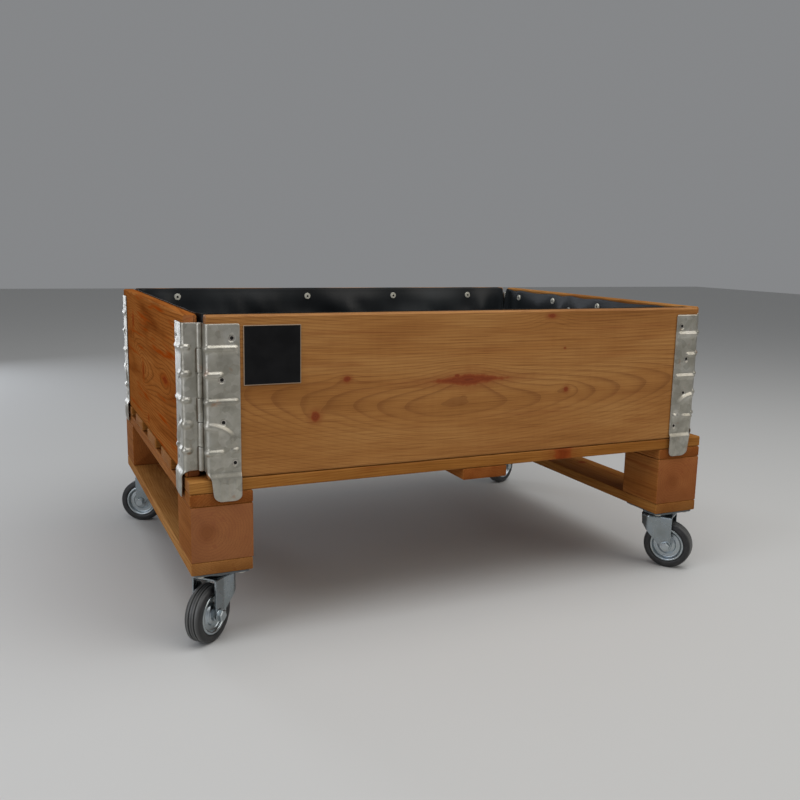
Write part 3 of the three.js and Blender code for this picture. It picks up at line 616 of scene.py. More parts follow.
def sawn_board(name, node, axes, finish, slot, tree_at, bulges, figure, cell=8.0, radius=1.4):
    """A sawn board in the place of its solid. axes are those of its length and width, tree_at
    gives where the trunk's pith runs past the board, seen in its section, at each place along it,
    bulges lists where a knot pushes the rings aside, and figure is how strongly the rings show, as
    a number or by place. cell is the mesh's step, and radius the edges' rounding."""
    along, wide = axes
    low, high = (np.array(corner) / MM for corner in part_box(node))
    middle, size = (low + high) / 2, high - low
    thin = 3 - along - wide
    half_long, half_wide, half_thin = size[along] / 2, size[wide] / 2, size[thin] / 2
    # section, once round: four corners of a few points and the sides between them
    section = []
    for v_way, w_way, start in ((1, 1, 0), (-1, 1, 90), (-1, -1, 180), (1, -1, 270)):
        centre = (v_way * (half_wide - radius), w_way * (half_thin - radius))
        section += arc(centre, radius, start, start + 90, 4)
    ring_points = []
    for i, here in enumerate(section):
        there = section[(i + 1) % len(section)]
        gap = math.dist(here, there)
        ring_points.append(here)
        if gap > 4 * radius:
            count = max(2, round(gap / cell))
            near = ROUND_EDGE / gap
            for share in [near] + [k / count for k in range(1, count)] + [1 - near]:
                ring_points.append(tuple(np.array(here) + (np.array(there) - here) * share))
    ring_points = np.array(ring_points)
    into_corner = (np.abs(ring_points) - np.array([half_wide, half_thin]) + radius) / radius
    corner_share = 2 * np.sqrt(np.clip(into_corner, 0, 1).prod(1))
    # stations along the board: a rounded end, then even steps
    steps = max(4, round(2 * half_long / cell))
    inner = np.linspace(-half_long + END_ROOM, half_long - END_ROOM, steps)
    chamfer = 0.6 * radius
    stations = [(-half_long, chamfer), (-half_long + 0.3 * chamfer, 0.35 * chamfer)]
    stations += [(-half_long + chamfer, 0.0)] + [(u, 0.0) for u in inner] + [(half_long - chamfer, 0.0)]
    stations += [(half_long - 0.3 * chamfer, 0.35 * chamfer), (half_long, chamfer)]
    count = len(ring_points)
    points, grain, pith, state = [], [], [], []
    origin = Vector(middle)
    for u, inset in stations:
        at_end = inset == chamfer
        pith_v, pith_w = tree_at(u)
        for k, (v, w) in enumerate(ring_points):
            # worn arrises: the corner is knocked back by up to most of a millimetre
            wear = noise.noise(Vector((u * 0.035, v * 0.05, w * 0.2)) + origin * 0.01)
            dent = max(0.0, noise.noise(Vector((u * 0.12, v * 0.3, w * 0.6)) + origin * 0.02) - 0.25)
            push = corner_share[k] * (0.2 + 0.25 * wear + 0.9 * dent) * min(1, radius / 2)
            push += 0.12 * (1 + noise.noise(Vector((u * 0.012, v * 0.03, w * 0.02)) + origin * 0.013))
            shrink = inset + push
            v_new = v - math.copysign(min(shrink, abs(v)), v) * (abs(v) > half_wide - radius - 0.01)
            w_new = w - math.copysign(min(shrink, abs(w)), w) * (abs(w) > half_thin - radius - 0.01)
            position = np.zeros(3)
            position[along], position[wide], position[thin] = u, v_new, w_new
            points.append(middle + position)
            grain.append((u, v, w))
            pith.append((u, v - pith_v, w - pith_w))
            lift = sum(
                rise * math.exp(-((u - ku) / (2.2 * reach)) ** 2 - ((v - kv) / reach) ** 2)
                for ku, kv, rise, reach in bulges
            )
            strength = figure(u, v) if callable(figure) else figure
            # third value: 1 on the end faces, below zero on the arrises, where the finish pales them as
            # wear and as a painted highlight
            edge = 1.0 if at_end else -corner_share[k] * (0.55 + 0.45 * wear + dent)
            state.append((lift, strength, edge))
    faces = []
    for s in range(len(stations) - 1):
        for k in range(count):
            a, b = s * count + k, s * count + (k + 1) % count
            faces.append((a, b, b + count, a + count))
    faces.append(tuple(range(count - 1, -1, -1)))
    last = (len(stations) - 1) * count
    faces.append(tuple(range(last, last + count)))
    section_frame = np.zeros((3, 3))
    section_frame[along, 0] = section_frame[wide, 1] = section_frame[thin, 2] = 1
    if np.linalg.det(section_frame) < 0:
        faces = [tuple(reversed(face)) for face in faces]
    values = {"grain": grain, "pith": pith, "state": state}
    new_piece(name, node, (points, faces), BOARD_BODIES[slot], slot, finish, 50.0, values)


def trunk(v0, depth, u0=0.0, bend=(0.0, 0.0), taper=(0.09, 0.09), core=8.0, side=1):
    """Where the pith runs past a board: v0 across it, depth behind its face and further away from
    u0 in both directions, so that the rings close there in long ovals. bend and taper each have a
    value for either direction."""

    def at(u):
        away = u - u0
        way = 0 if away < 0 else 1
        return v0 + bend[way] * away * away, side * (depth - core + math.hypot(core, taper[way] * away))

    return at


def make_frame_boards():
    """The front and left boards follow what can be seen on them, the others vary. A knot is u, v
    and half its length and width, and a bulge, where one pushes the rings aside, is u, v, height
    and reach."""
    honey = ("#b38148", "#7f5029")
    front = softwood(
        "oiled_larch_front", *honey, ring=3.7, shift=2.8, wander=0.8, streak="#84461f", streaks=0.25,
        shine=0.18, seed=1.0,
        knots=[
            (-196.8, 16.9, 6, 4.5), (-239.2, -29.5, 7, 7.5), (-18, 8, 74, 10), (-37, 14, 5, 3),
            (141, -13, 5, 4.5), (111.6, 93, 8, 4), (135.6, 46.7, 2, 1.6),
        ],
    )
    left = softwood(
        "oiled_larch_left", "#aa6c36", "#61361a", ring=4.6, wander=2.6, streak="#94400f", streaks=1.0,
        mottle="#a67f5a", shine=0.0, seed=2.0,
        knots=[(62, -14, 8, 13), (-142, 1, 30, 7), (163, 56, 9, 12), (20, -82, 7, 5)],
    )
    rear_knots = [(210, 40, 8, 7), (-120, -30, 7, 8), (20, 60, 5, 4)]
    rear = softwood("oiled_larch_rear", *honey, knots=rear_knots, ring=3.4, seed=3.0)
    right_knots = [(-90, 30, 7, 8), (150, -50, 9, 8)]
    right = softwood("oiled_larch_right", *honey, knots=right_knots, ring=4.0, seed=4.0)

    def front_figure(u, v):
        upper = smooth_step(-38, -8, v)
        oval = math.exp(-(((v + 20) / 26) ** 2))
        return float(0.36 + 0.22 * upper + 0.18 * oval)

    front_bulges = [
        (-239.2, -29.5, -3, 10), (-196.8, 16.9, -4, 9), (-20, 14, -10, 23), (141, -13, -4, 10),
        (111.6, 90, -9, 15),
    ]
    left_bulges = [(62, -14, -12, 26), (-142, 1, -9, 18), (163, 56, -12, 24), (20, -82, 7, 20)]
    rear_bulges = [(210, 40, -9, 18), (-120, -30, -9, 18), (20, 60, -5, 12)]
    right_bulges = [(-90, 30, -9, 18), (150, -50, -10, 20)]
    front_trunk = trunk(-26, 30, -50, (0.00039, 0.000144), (0.118, 0.086))
    left_trunk = trunk(-8, 20, 70, (0.00006, 0.0012), (0.055, 0.3))
    rear_trunk = trunk(20, 36, 90, (-0.0002, -0.0003), side=-1)
    right_trunk = trunk(-35, 28, -60, (0.0003, 0.0003), side=-1)
    for name, along, finish, tree_at, bulges, figure, cell in (
        ("front", 0, front, front_trunk, front_bulges, front_figure, 5.0),
        ("left", 1, left, left_trunk, left_bulges, 0.7, 5.0),
        ("rear", 0, rear, rear_trunk, rear_bulges, 0.65, 8.0),
        ("right", 1, right, right_trunk, right_bulges, 0.7, 8.0),
    ):
        sawn_board(
            f"frame_{name}_board", f"frame_board_{name}", (along, 2), finish, "frame_wood", tree_at,
            bulges, figure, cell, 2.2,
        )


def make_pallet_boards():
    pale = ("#b07d42", "#7c4b20")
    ruddy = ("#a8703c", "#784520")
    # a lighter pine for the left skid, painted light for the light that falls on its top from the left
    painted_lit_pine = ("#ba894f", "#84552a")
    deck_knots = [
        [(141, -37, 26, 6), (-250, 12, 8, 7)],
        [(-80, 10, 9, 8)],
        [(230, -14, 8, 8)],
        [(-210, 6, 10, 9), (120, 20, 6, 5)],
        [(60, -10, 9, 8)],
    ]
    for i, knots in enumerate(deck_knots):
        finish = softwood(f"oiled_pine_deck_{i + 1}", *pale, knots=knots, ring=3.0, seed=5.0 + i)
        tree_at = trunk((i * 37) % 60 - 30, 14 + 5 * i, 60 * i - 120, side=1 if i % 2 else -1)
        bulges = [(u, v, -6, 12) for u, v, _, _ in knots]
        names = (f"deck_plank_{i + 1}", f"deck_board_{i + 1}")
        sawn_board(*names, (0, 1), finish, "pallet_wood", tree_at, bulges, 0.6)
    for i, name in enumerate(("left", "middle", "right")):
        u = 40 - 90 * i
        wood = f"oiled_pine_stringer_{name}"
        finish = softwood(wood, *ruddy, knots=[(u, 8, 8, 7)], ring=3.4, cut="#6a2c12", seed=11.0 + i)
        tree_at = trunk(12 - 9 * i, 12, 30, side=-1)
        names = (f"deck_stringer_{name}", f"stringer_{name}")
        sawn_board(*names, (1, 0), finish, "pallet_wood", tree_at, [(u, 8, -7, 14)], 0.5)
    # the blocks hold the heart of the tree, so their ends show whole rings
    for i, cut in enumerate(("#94644c", "#8f553a", "#7a4222", "#8a5434")):
        name = CORNERS[i][0]
        finish = softwood(f"oiled_pine_block_{name}", *ruddy, ring=3.9, wander=3.4, cut=cut, seed=15.0 + i)
        tree_at = trunk(-19 + 12 * i, 1 - 3 * i, core=1.0, taper=(0.03, 0.03))
        names = (f"corner_block_{name}", f"block_{name}")
        sawn_board(*names, (1, 0), finish, "pallet_wood", tree_at, [], 0.55, 6.0, 1.0)
    # painted light: the left skid takes the lighter pine, standing in for the light on its top from the
    # left
    for i, (name, woods) in enumerate((("left", painted_lit_pine), ("right", pale))):
        u = -120 + 90 * i
        wood = f"oiled_pine_skid_{name}"
        finish = softwood(wood, *woods, knots=[(u, 14, 8, 8)], ring=3.2, cut="#6a4028", seed=20.0 + i)
        tree_at = trunk(6 + 8 * i, 22, -60)
        names = (f"bottom_skid_{name}", f"skid_{name}")
        sawn_board(*names, (1, 0), finish, "pallet_wood", tree_at, [(u, 14, -7, 14)], 0.5, radius=1.0)


# ---------------------------------------------------------------- corner hinges

SHEET = 1.5
BARREL = 4.0  # outer radius of the rolled knuckles
BORE = BARREL - SHEET
FLANGE_TOP = 16.0  # the bend begins here, measured out from the pin
BEND = 5.5
FACE = FLANGE_TOP + BEND  # the leaf's outer face
BEND_LENGTH = BEND * math.pi / 2
LEAF_END = BEND_LENGTH + 36.5  # along the sheet, from the start of the bend
FLANGE_ROOT = -FLANGE_TOP  # where the flange meets the knuckle's curl
KNUCKLE_EDGE = -11.8  # the flange's free edge between two knuckles
CURL = math.radians(305)
KNUCKLES = 6
KNUCKLE_PITCH = (LEAF_TOP - LEAF_BOTTOM) / KNUCKLES
KNUCKLE_PLAY = 1.5
TONGUE_BOTTOM = 191.6
TONGUE_JOGGLE = 2.9
# pressed beads: start and end along the sheet, height above the floor
BEADS = [
    (-1.5, 38.5, RIM - 40),
    (-1.5, 20.5, RIM - 72),
    (-1.5, 38.5, RIM - 105),
    (-1.5, 20.5, RIM - 168),
    (36.0, 38.5, RIM - 166),
]
ARC_TOP = RIM - 135
BEAD_HALF = 5.2
ARC_HALF = 7.0
BEAD_RISE = 2.5
# screws on each leaf: along the board from the pin, height
SCREWS = [(34.6, 394.3), (21.9, 343.8), (23.1, 291.2), (36.9, 240.0)]
SCREW_HOLE = 4.2


def bead_height(s, z):
    """How far the leaf is pressed out at a flat point of it."""
    rise = np.zeros(len(s))
    for start, end, level in BEADS:
        beyond = np.maximum(np.maximum(start - s, s - end), 0.0)
        away = np.hypot(beyond, z - level) / BEAD_HALF
        rise = np.maximum(rise, 0.5 * (1 + np.cos(math.pi * np.clip(away, 0, 1))))
    # one wider bead sweeps down from the bend in a quarter of an oval
    start, wide, high = 4.0, 29.0, 22.0
    level = ARC_TOP - high
    oval = np.hypot((s - start) / wide, (z - level) / high)
    straight = (s < start) & (z > level)
    away = np.where(straight, np.abs(z - ARC_TOP), np.abs(oval - 1) * 24.0) / ARC_HALF
    away = np.hypot(away, np.maximum(np.maximum(level - z, -1.5 - s), 0.0) / ARC_HALF)
    rise = np.maximum(rise, 0.5 * (1 + np.cos(math.pi * np.clip(away, 0, 1))))
    rise = BEAD_RISE * rise**0.8
    # three low ribs stiffen the tongue
    fade = smooth_step(LEAF_BOTTOM - 6, LEAF_BOTTOM - 14, z)
    fade = fade * smooth_step(TONGUE_BOTTOM, TONGUE_BOTTOM + 9, z)
    for middle in (18.5, 27.5, 36.5):
        away = np.abs(s - middle) / 3.2
        rise = rise + 1.1 * fade * 0.5 * (1 + np.cos(math.pi * np.clip(away, 0, 1)))
    return rise


def leaf_place(flat):
    """Bends a flat leaf: s along the sheet from the bend, z up. Gives x along the board from the
    pin, y out through the board's face, z, and the outer face's normals."""
    s, z = flat[:, 0], flat[:, 1]
    x, y = np.zeros(len(s)), np.zeros(len(s))
    nx, ny = np.zeros(len(s)), np.zeros(len(s))
    curl = s < FLANGE_ROOT
    angle = -(FLANGE_ROOT - s[curl]) / BORE
    x[curl], y[curl] = BORE * np.cos(angle), BORE * np.sin(angle)
    nx[curl], ny[curl] = -np.cos(angle), -np.sin(angle)
    flange = (s >= FLANGE_ROOT) & (s < 0)
    x[flange], y[flange] = BORE, FLANGE_TOP + s[flange]
    nx[flange] = -1.0
    bend = (s >= 0) & (s < BEND_LENGTH)
    angle = math.pi - s[bend] / BEND
    x[bend], y[bend] = BORE + BEND + BEND * np.cos(angle), FLANGE_TOP + BEND * np.sin(angle)
    nx[bend], ny[bend] = np.cos(angle), np.sin(angle)
    plate = s >= BEND_LENGTH
    x[plate], y[plate] = BORE + BEND + s[plate] - BEND_LENGTH, FACE
    ny[plate] = 1.0
    points = np.column_stack([x, y, z])
    normals = np.column_stack([nx, ny, np.zeros(len(s))])
    points = points + normals * bead_height(s, z)[:, None]
    # the tongue steps out over the deck's edge, and its end curls back a little
    step = TONGUE_JOGGLE * smooth_step(LEAF_BOTTOM + 2, LEAF_BOTTOM - 7, z)
    points[:, 1] += step * smooth_step(FLANGE_ROOT, 0, s)
    points[:, 1] -= 1.2 * smooth_step(TONGUE_BOTTOM + 6, TONGUE_BOTTOM, z)
    return points, normals


def leaf_shape(first):
    """One leaf with its rolled knuckles. first is 0 if the top knuckle is its own, otherwise 1."""
    curl_end = FLANGE_ROOT - BORE * CURL
    outline = []
    top, bottom = LEAF_TOP, LEAF_BOTTOM
    # up the free edge, knuckle by knuckle, from the bottom
    for i in reversed(range(KNUCKLES)):
        low = top - (i + 1) * KNUCKLE_PITCH + KNUCKLE_PLAY / 2
        high = top - i * KNUCKLE_PITCH - KNUCKLE_PLAY / 2
        if i == KNUCKLES - 1:
            low = bottom
        if i == 0:
            high = top
        edge = curl_end if i % 2 == first else KNUCKLE_EDGE
        outline += [(edge, low), (edge, high)]
    outline += arc((LEAF_END - 2.5, top - 2.5), 2.5, 90, 0, 4)
    outline += arc((LEAF_END - 8.5, TONGUE_BOTTOM + 8.5), 8.5, 0, -90, 9)
    near = 9.5
    outline += arc((near + 11.5, TONGUE_BOTTOM + 11.5), 11.5, 270, 180, 10)
    outline += arc((near - 12.0, bottom - 11.0), 10.5, 0, 90, 9)
    outline = outline[::-1]
    # fine lines where the sheet is curled, bent or pressed, coarse ones where it is flat
    lines_s = list(np.arange(curl_end, FLANGE_ROOT, 0.75)) + [FLANGE_ROOT]
    lines_s += list(np.arange(FLANGE_ROOT + 2.2, -7, 2.2)) + list(np.arange(-7, 0, 1.2))
    lines_s += list(np.linspace(0, BEND_LENGTH, 10)) + list(np.arange(BEND_LENGTH + 1.3, LEAF_END, 1.3))
    lines_z = []
    z = TONGUE_BOTTOM + 0.5
    while z < top:
        lines_z.append(z)
        near_bead = any(abs(z + 1 - level) < 6.5 for _, _, level in BEADS)
        near_bead = near_bead or ARC_TOP - 26 < z < ARC_TOP + 6 or z < LEAF_BOTTOM + 4
        z += 0.9 if near_bead else 3.6
    holes = [(BEND_LENGTH + x - BORE - BEND, z, SCREW_HOLE) for x, z in SCREWS]
    return pressed_sheet(outline, holes, lines_s, lines_z, leaf_place, SHEET, sink=1.3)


def make_hinges(zinc):
    long_leaf, side_leaf = leaf_shape(1), leaf_shape(0)
    # a pin with both ends hammered over
    radius = 2.1
    profile = [(0, LEAF_BOTTOM - 0.6), (1.6, LEAF_BOTTOM - 0.3), (radius, LEAF_BOTTOM + 0.6)]
    profile += [(radius, LEAF_TOP - 0.6), (1.6, LEAF_TOP + 0.3), (0, LEAF_TOP + 0.6)]
    pin = lathe(profile, 20, closed=False)
    for name, side, end, _ in CORNERS:
        x, y = side * PIN_X, end * PIN_Y
        galvanised = ("planter_frame", "galvanised", zinc)
        leaf = placed(*long_leaf, (-side, 0), (0, end), x, y)
        new_piece(f"leaf_{name}_long", f"hinge_leaf_{name}_long", leaf, *galvanised, 60.0)
        leaf = placed(*side_leaf, (0, -end), (side, 0), x, y)
        new_piece(f"leaf_{name}_side", f"hinge_leaf_{name}_side", leaf, *galvanised, 60.0)
        rod = (pin[0] + np.array([x, y, 0]), pin[1])
        new_piece(f"pin_{name}", f"hinge_pin_{name}", rod, *galvanised, 40.0)


# ---------------------------------------------------------------- liner

LINER_SHEET = 1.0
LINER_FLOOR = DECK_TOP + 0.6
LINER_CORNER = 21.0
BOARD_GAP = 0.6  # between the liner and the boards
WALL_DEPTH = 176.0  # below this the wall bends onto the floor
BEND_RINGS = 5
FLOOR_RINGS = 18
SLIT_DEPTH = 36.0
WASHER_SEAT = 2.1  # from the liner's place to the washers' undersides
# the liner's sides, anticlockwise from the front: its edge above or below the boards' tops, how
# much deeper it hangs between two screws, and each screw's place along the way round and drop
LINER_SIDES = [
    (1.0, 0.6, [(-289, 14), (-120, 14), (60, 14), (306, 14)]),
    (-3.5, 2.2, [(-205, 17), (-43, 17), (45, 31), (99, 16.5), (223, 18)]),
    (0.7, 0.6, [(-289, 15), (-120, 15), (60, 15), (306, 15)]),
    (1.0, 0.6, [(-223, 14), (-99, 14), (43, 14), (190, 14)]),
]


def way_round(turn, place, away):
    """A point and its inward direction on one of the planter's inner sides."""
    cos, sin = round(math.cos(turn * math.pi / 2)), round(math.sin(turn * math.pi / 2))
    return (place * cos + away * sin, place * sin - away * cos), (-sin, cos)


def liner_half(turn):
    """Half the length of a side between the boards, and how far out it is."""
    inner = (HALF_LENGTH - FRAME_BOARD - BOARD_GAP, HALF_WIDTH - FRAME_BOARD - BOARD_GAP)
    return inner[turn % 2], inner[1 - turn % 2]


def liner_stations():
    """The liner's edge, once round: x, y, inward x and y, edge height, slack and slit."""
    stations = []
    for turn, (lift, droop, screws) in enumerate(LINER_SIDES):
        half, away = liner_half(turn)
        reach = half - LINER_CORNER
        stops = [-reach, *[place for place, _ in screws], reach]
        for a, b in zip(stops, stops[1:]):
            count = max(3, round((b - a) / 8))
            for k in range(count):
                slack = math.sin(math.pi * k / count) ** 2
                (x, y), (nx, ny) = way_round(turn, a + (b - a) * k / count, away)
                stations.append((x, y, nx, ny, RIM + lift - droop * slack, slack, 0.0))
        cx, cy = way_round(turn, reach, away - LINER_CORNER)[0]
        next_lift = LINER_SIDES[(turn + 1) % 4][0]
        steps = 18 if turn == 1 else 8
        for k in range(steps):
            share = k / steps
            angle = (turn - 1 + share) * math.pi / 2
            nx, ny = -math.cos(angle), -math.sin(angle)
            slit = max(0.0, 1 - abs(share - 0.5) / 0.13) if turn == 1 else 0.0
            edge = RIM + lift + (next_lift - lift) * share
            x, y = cx - LINER_CORNER * nx, cy - LINER_CORNER * ny
            stations.append((x, y, nx, ny, edge, 0.0, slit))
    return stations


def make_liner(membrane):
    """A bag of membrane screwed to the boards. It hangs a little slack between the screws, bellies
    off the boards, rounds the corners and lies in low waves on the deck. At the rear right corner
    its edge is slit to clear the hinge."""
    stations = liner_stations()
    count = len(stations)
    # down the wall, then a soft bend onto the floor and in to the middle
    wall = np.concatenate([[0.0, 0.6, 2.0, 5.0], np.linspace(9, WALL_DEPTH, 20)])
    wall_height = RIM - LINER_FLOOR
    bend_radius = wall_height - wall[-1]
    points = []
    for down in wall:
        for x, y, nx, ny, edge, slack, slit in stations:
            top = edge - SLIT_DEPTH * slit
            z = top - down / wall_height * (top - LINER_FLOOR)
            # the folds lean, as where a sheet hangs from a few screws
            lean = z * 0.014
            folds = noise.noise(Vector((x * 0.012 + lean, y * 0.012 + lean, 0.5)))
            pleats = noise.noise(Vector((x * 0.045 + lean, y * 0.045 + lean, 9.0)))
            ease = smooth_step(0, 45, down) * (1 - 0.5 * smooth_step(150, 190, down))
            # the washers hold it to the boards
            ease *= 1 - 0.95 * (1 - slack) * (1 - smooth_step(34, 80, down))
            belly = (1.2 + 2.4 * slack) * float(smooth_step(0, 20, down)) if slit == 0 else 0.4
            push = 0.5 + belly + float(ease) * max(0.0, 4.5 + 9.0 * folds + 3.0 * pleats)
            push += 3.0 * slit * float(1 - smooth_step(0, 12, down)) - 0.4 * (down < 1)
            points.append((x + nx * push, y + ny * push, z))
    last = np.array(points[-count:])
    for k in range(1, BEND_RINGS + 1):
        angle = k / BEND_RINGS * math.pi / 2
        for start, station in zip(last, stations):
            inward = bend_radius * (1 - math.cos(angle))
            x, y = start[0] + station[2] * inward, start[1] + station[3] * inward
            points.append((x, y, start[2] - (start[2] - LINER_FLOOR) * math.sin(angle)))
    # the floor's rings turn from a rounded rectangle into even ovals towards the middle
    base = np.array(points[-count:])[:, :2]
    start = np.argmin(np.abs(base[:, 0]) + 1e3 * (base[:, 1] > 0))
    angles = 2 * math.pi * (np.arange(count) - start) / count - math.pi / 2
    oval = 0.88 * np.column_stack([HALF_LENGTH * np.cos(angles), HALF_WIDTH * np.sin(angles)])
    for k in range(1, FLOOR_RINGS + 1):
        share = 1 - k / FLOOR_RINGS * 0.985
        spread = smooth_step(0, 11, k)
        for x, y in (base * (1 - spread) + oval * spread) * share:
            wave = noise.noise(Vector((x * 0.012, y * 0.014, 3.0)))
            rise = max(0.0, 1.4 + 3.2 * wave) * float(smooth_step(0, 3, k))
            points.append((x, y, LINER_FLOOR + rise))
    rings = len(points) // count
    faces = []
    for ring in range(rings - 1):
        for i in range(count):
            a, b = ring * count + i, ring * count + (i + 1) % count
            faces.append((a, b, b + count, a + count))
    faces.append(tuple((rings - 1) * count + i for i in range(count)))
    # the faces look into the bag, and a second skin outside them closes the shell round the edge
    mesh = bpy.data.meshes.new("liner_skin")
    mesh.from_pydata(points, [], faces)
    mesh.update()
    normals = np.zeros(len(points) * 3)
    mesh.vertices.foreach_get("normal", normals)
    bpy.data.meshes.remove(mesh)
    inner = np.array(points)
    outer = inner - normals.reshape(-1, 3) * LINER_SHEET
    outer[:, 2] = np.maximum(outer[:, 2], DECK_TOP + 0.35)
    total = len(inner)
    skins = faces + [tuple(i + total for i in reversed(face)) for face in faces]
    for i in range(count):
        j = (i + 1) % count
        skins.append((j, i, i + total, j + total))
    shape = (np.vstack([inner, outer]), skins)
    liner = new_piece("liner_membrane", "liner", shape, "planter_frame", "membrane", membrane, 60.0)


# ---------------------------------------------------------------- casters

WHEEL_RADIUS = 37.5
TRAIL = 20.0
FORK_TOP = 87.0
FORK_SHEET = 2.5
FORK_HALF = 18.2
FORK_CREASE = 9.5  # the legs are flat in front of this line and flare out behind it
FORK_BEND = 4.0
FORK_FRONT, FORK_REAR = 27.5, -22.0
AXLE_EYE = 7.5
SWIVEL_BORE = 5.4
PLATE_TOP = 98.5
PLATE_SHEET = 2.5
PLATE_HOLES = [(x, y) for x in (-26, 26) for y in (-30, 30)]


def fork_half(x):
    """Half of the fork's width at a place along it: parallel at the wheel, wider at the swivel."""
    wide = FORK_HALF + 4.0 * np.clip((FORK_CREASE - x) / (FORK_CREASE + 7.3), 0, 1)
    return wide - 6.0 * smooth_step(-7.3, -22, x) ** 1.5


def fork_place(flat):
    """Bends a flat fork: x along it, q across from its middle line, down the two legs."""
    x, q = flat[:, 0], flat[:, 1]

    def surface(x, q):
        side = np.sign(q)
        reach = np.abs(q)
        flat_end = fork_half(x) - FORK_BEND
        arc_end = flat_end + FORK_BEND * math.pi / 2
        angle = np.clip((reach - flat_end) / FORK_BEND, 0, math.pi / 2)
        y = np.minimum(reach, flat_end) + FORK_BEND * np.sin(angle)
        z = FORK_TOP - FORK_BEND * (1 - np.cos(angle)) - np.maximum(reach - arc_end, 0)
        return np.column_stack([x, side * y, z])

    points = surface(x, q)
    step = 0.02
    along = surface(x + step, q) - surface(x - step, q)
    across = surface(x, q + step) - surface(x, q - step)
    normals = np.cross(along, across)
    normals /= np.linalg.norm(normals, axis=1)[:, None]
    return points, normals


def fork_shape():
    def flat_at(x, z, side):
        over = float(fork_half(x)) - FORK_BEND + FORK_BEND * math.pi / 2
        return x, side * (over + FORK_TOP - FORK_BEND - z)

    # one leg's outline from the top down the leading edge, round the axle and up the rear
    leg = [(FORK_FRONT, z) for z in np.linspace(80, 39, 12)]
    leg += arc((TRAIL, WHEEL_RADIUS), AXLE_EYE, 0, -144, 14)
    low, high = np.array([13.9, 33.1]), np.array([-20.0, 70.0])
    leg += [tuple(low + (high - low) * k / 14) for k in range(1, 15)]
    leg += [(-20.6, 76), (-21, 81)]
    one = [flat_at(x, z, -1) for x, z in leg]
    other = [flat_at(x, z, 1) for x, z in leg]
    rear = [(FORK_REAR, q) for q in np.linspace(-12, 12, 9)]
    front = [(FORK_FRONT, q) for q in np.linspace(14, -14, 9)]
    outline = one + rear + other[::-1] + front
    reach = max(abs(q) for _, q in outline)
    crease = [FORK_CREASE - 0.4, FORK_CREASE + 0.4]
    lines_x = np.concatenate([np.arange(-21, 8.0, 1.9), crease, np.arange(11.5, FORK_FRONT, 2.0)])
    lines_q = np.concatenate([
        np.arange(-reach, -23.0, 2.6), np.arange(-23.0, -12.0, 0.9), np.arange(-12.0, 12.0, 2.6),
        np.arange(12.0, 23.0, 0.9), np.arange(23.0, reach, 2.6),
    ])
    x, q = flat_at(TRAIL, WHEEL_RADIUS, 1)
    holes = [(0, 0, SWIVEL_BORE), (x, q, 4.4), (x, -q, 4.4)]
    return pressed_sheet(outline, holes, lines_x, lines_q, fork_place, FORK_SHEET)


def hexagon_head(radius, low, high):
    """A hexagon head or nut from y low to high, with its outer corners turned off."""
    out = math.copysign(1, high - low)
    points = []
    for r, y in ((radius, low), (radius, high - out * 0.8), (radius * 0.88, high)):
        for k in range(6):
            a = math.pi / 3 * k + 0.3
            points.append((r * math.cos(a), y, r * math.sin(a)))
    faces = [tuple(range(6)), tuple(range(17, 11, -1))]
    for ring in (0, 6):
        faces += [(ring + k, ring + k + 6, ring + (k + 1) % 6 + 6, ring + (k + 1) % 6) for k in range(6)]
    return points, faces if out > 0 else [tuple(reversed(face)) for face in faces]


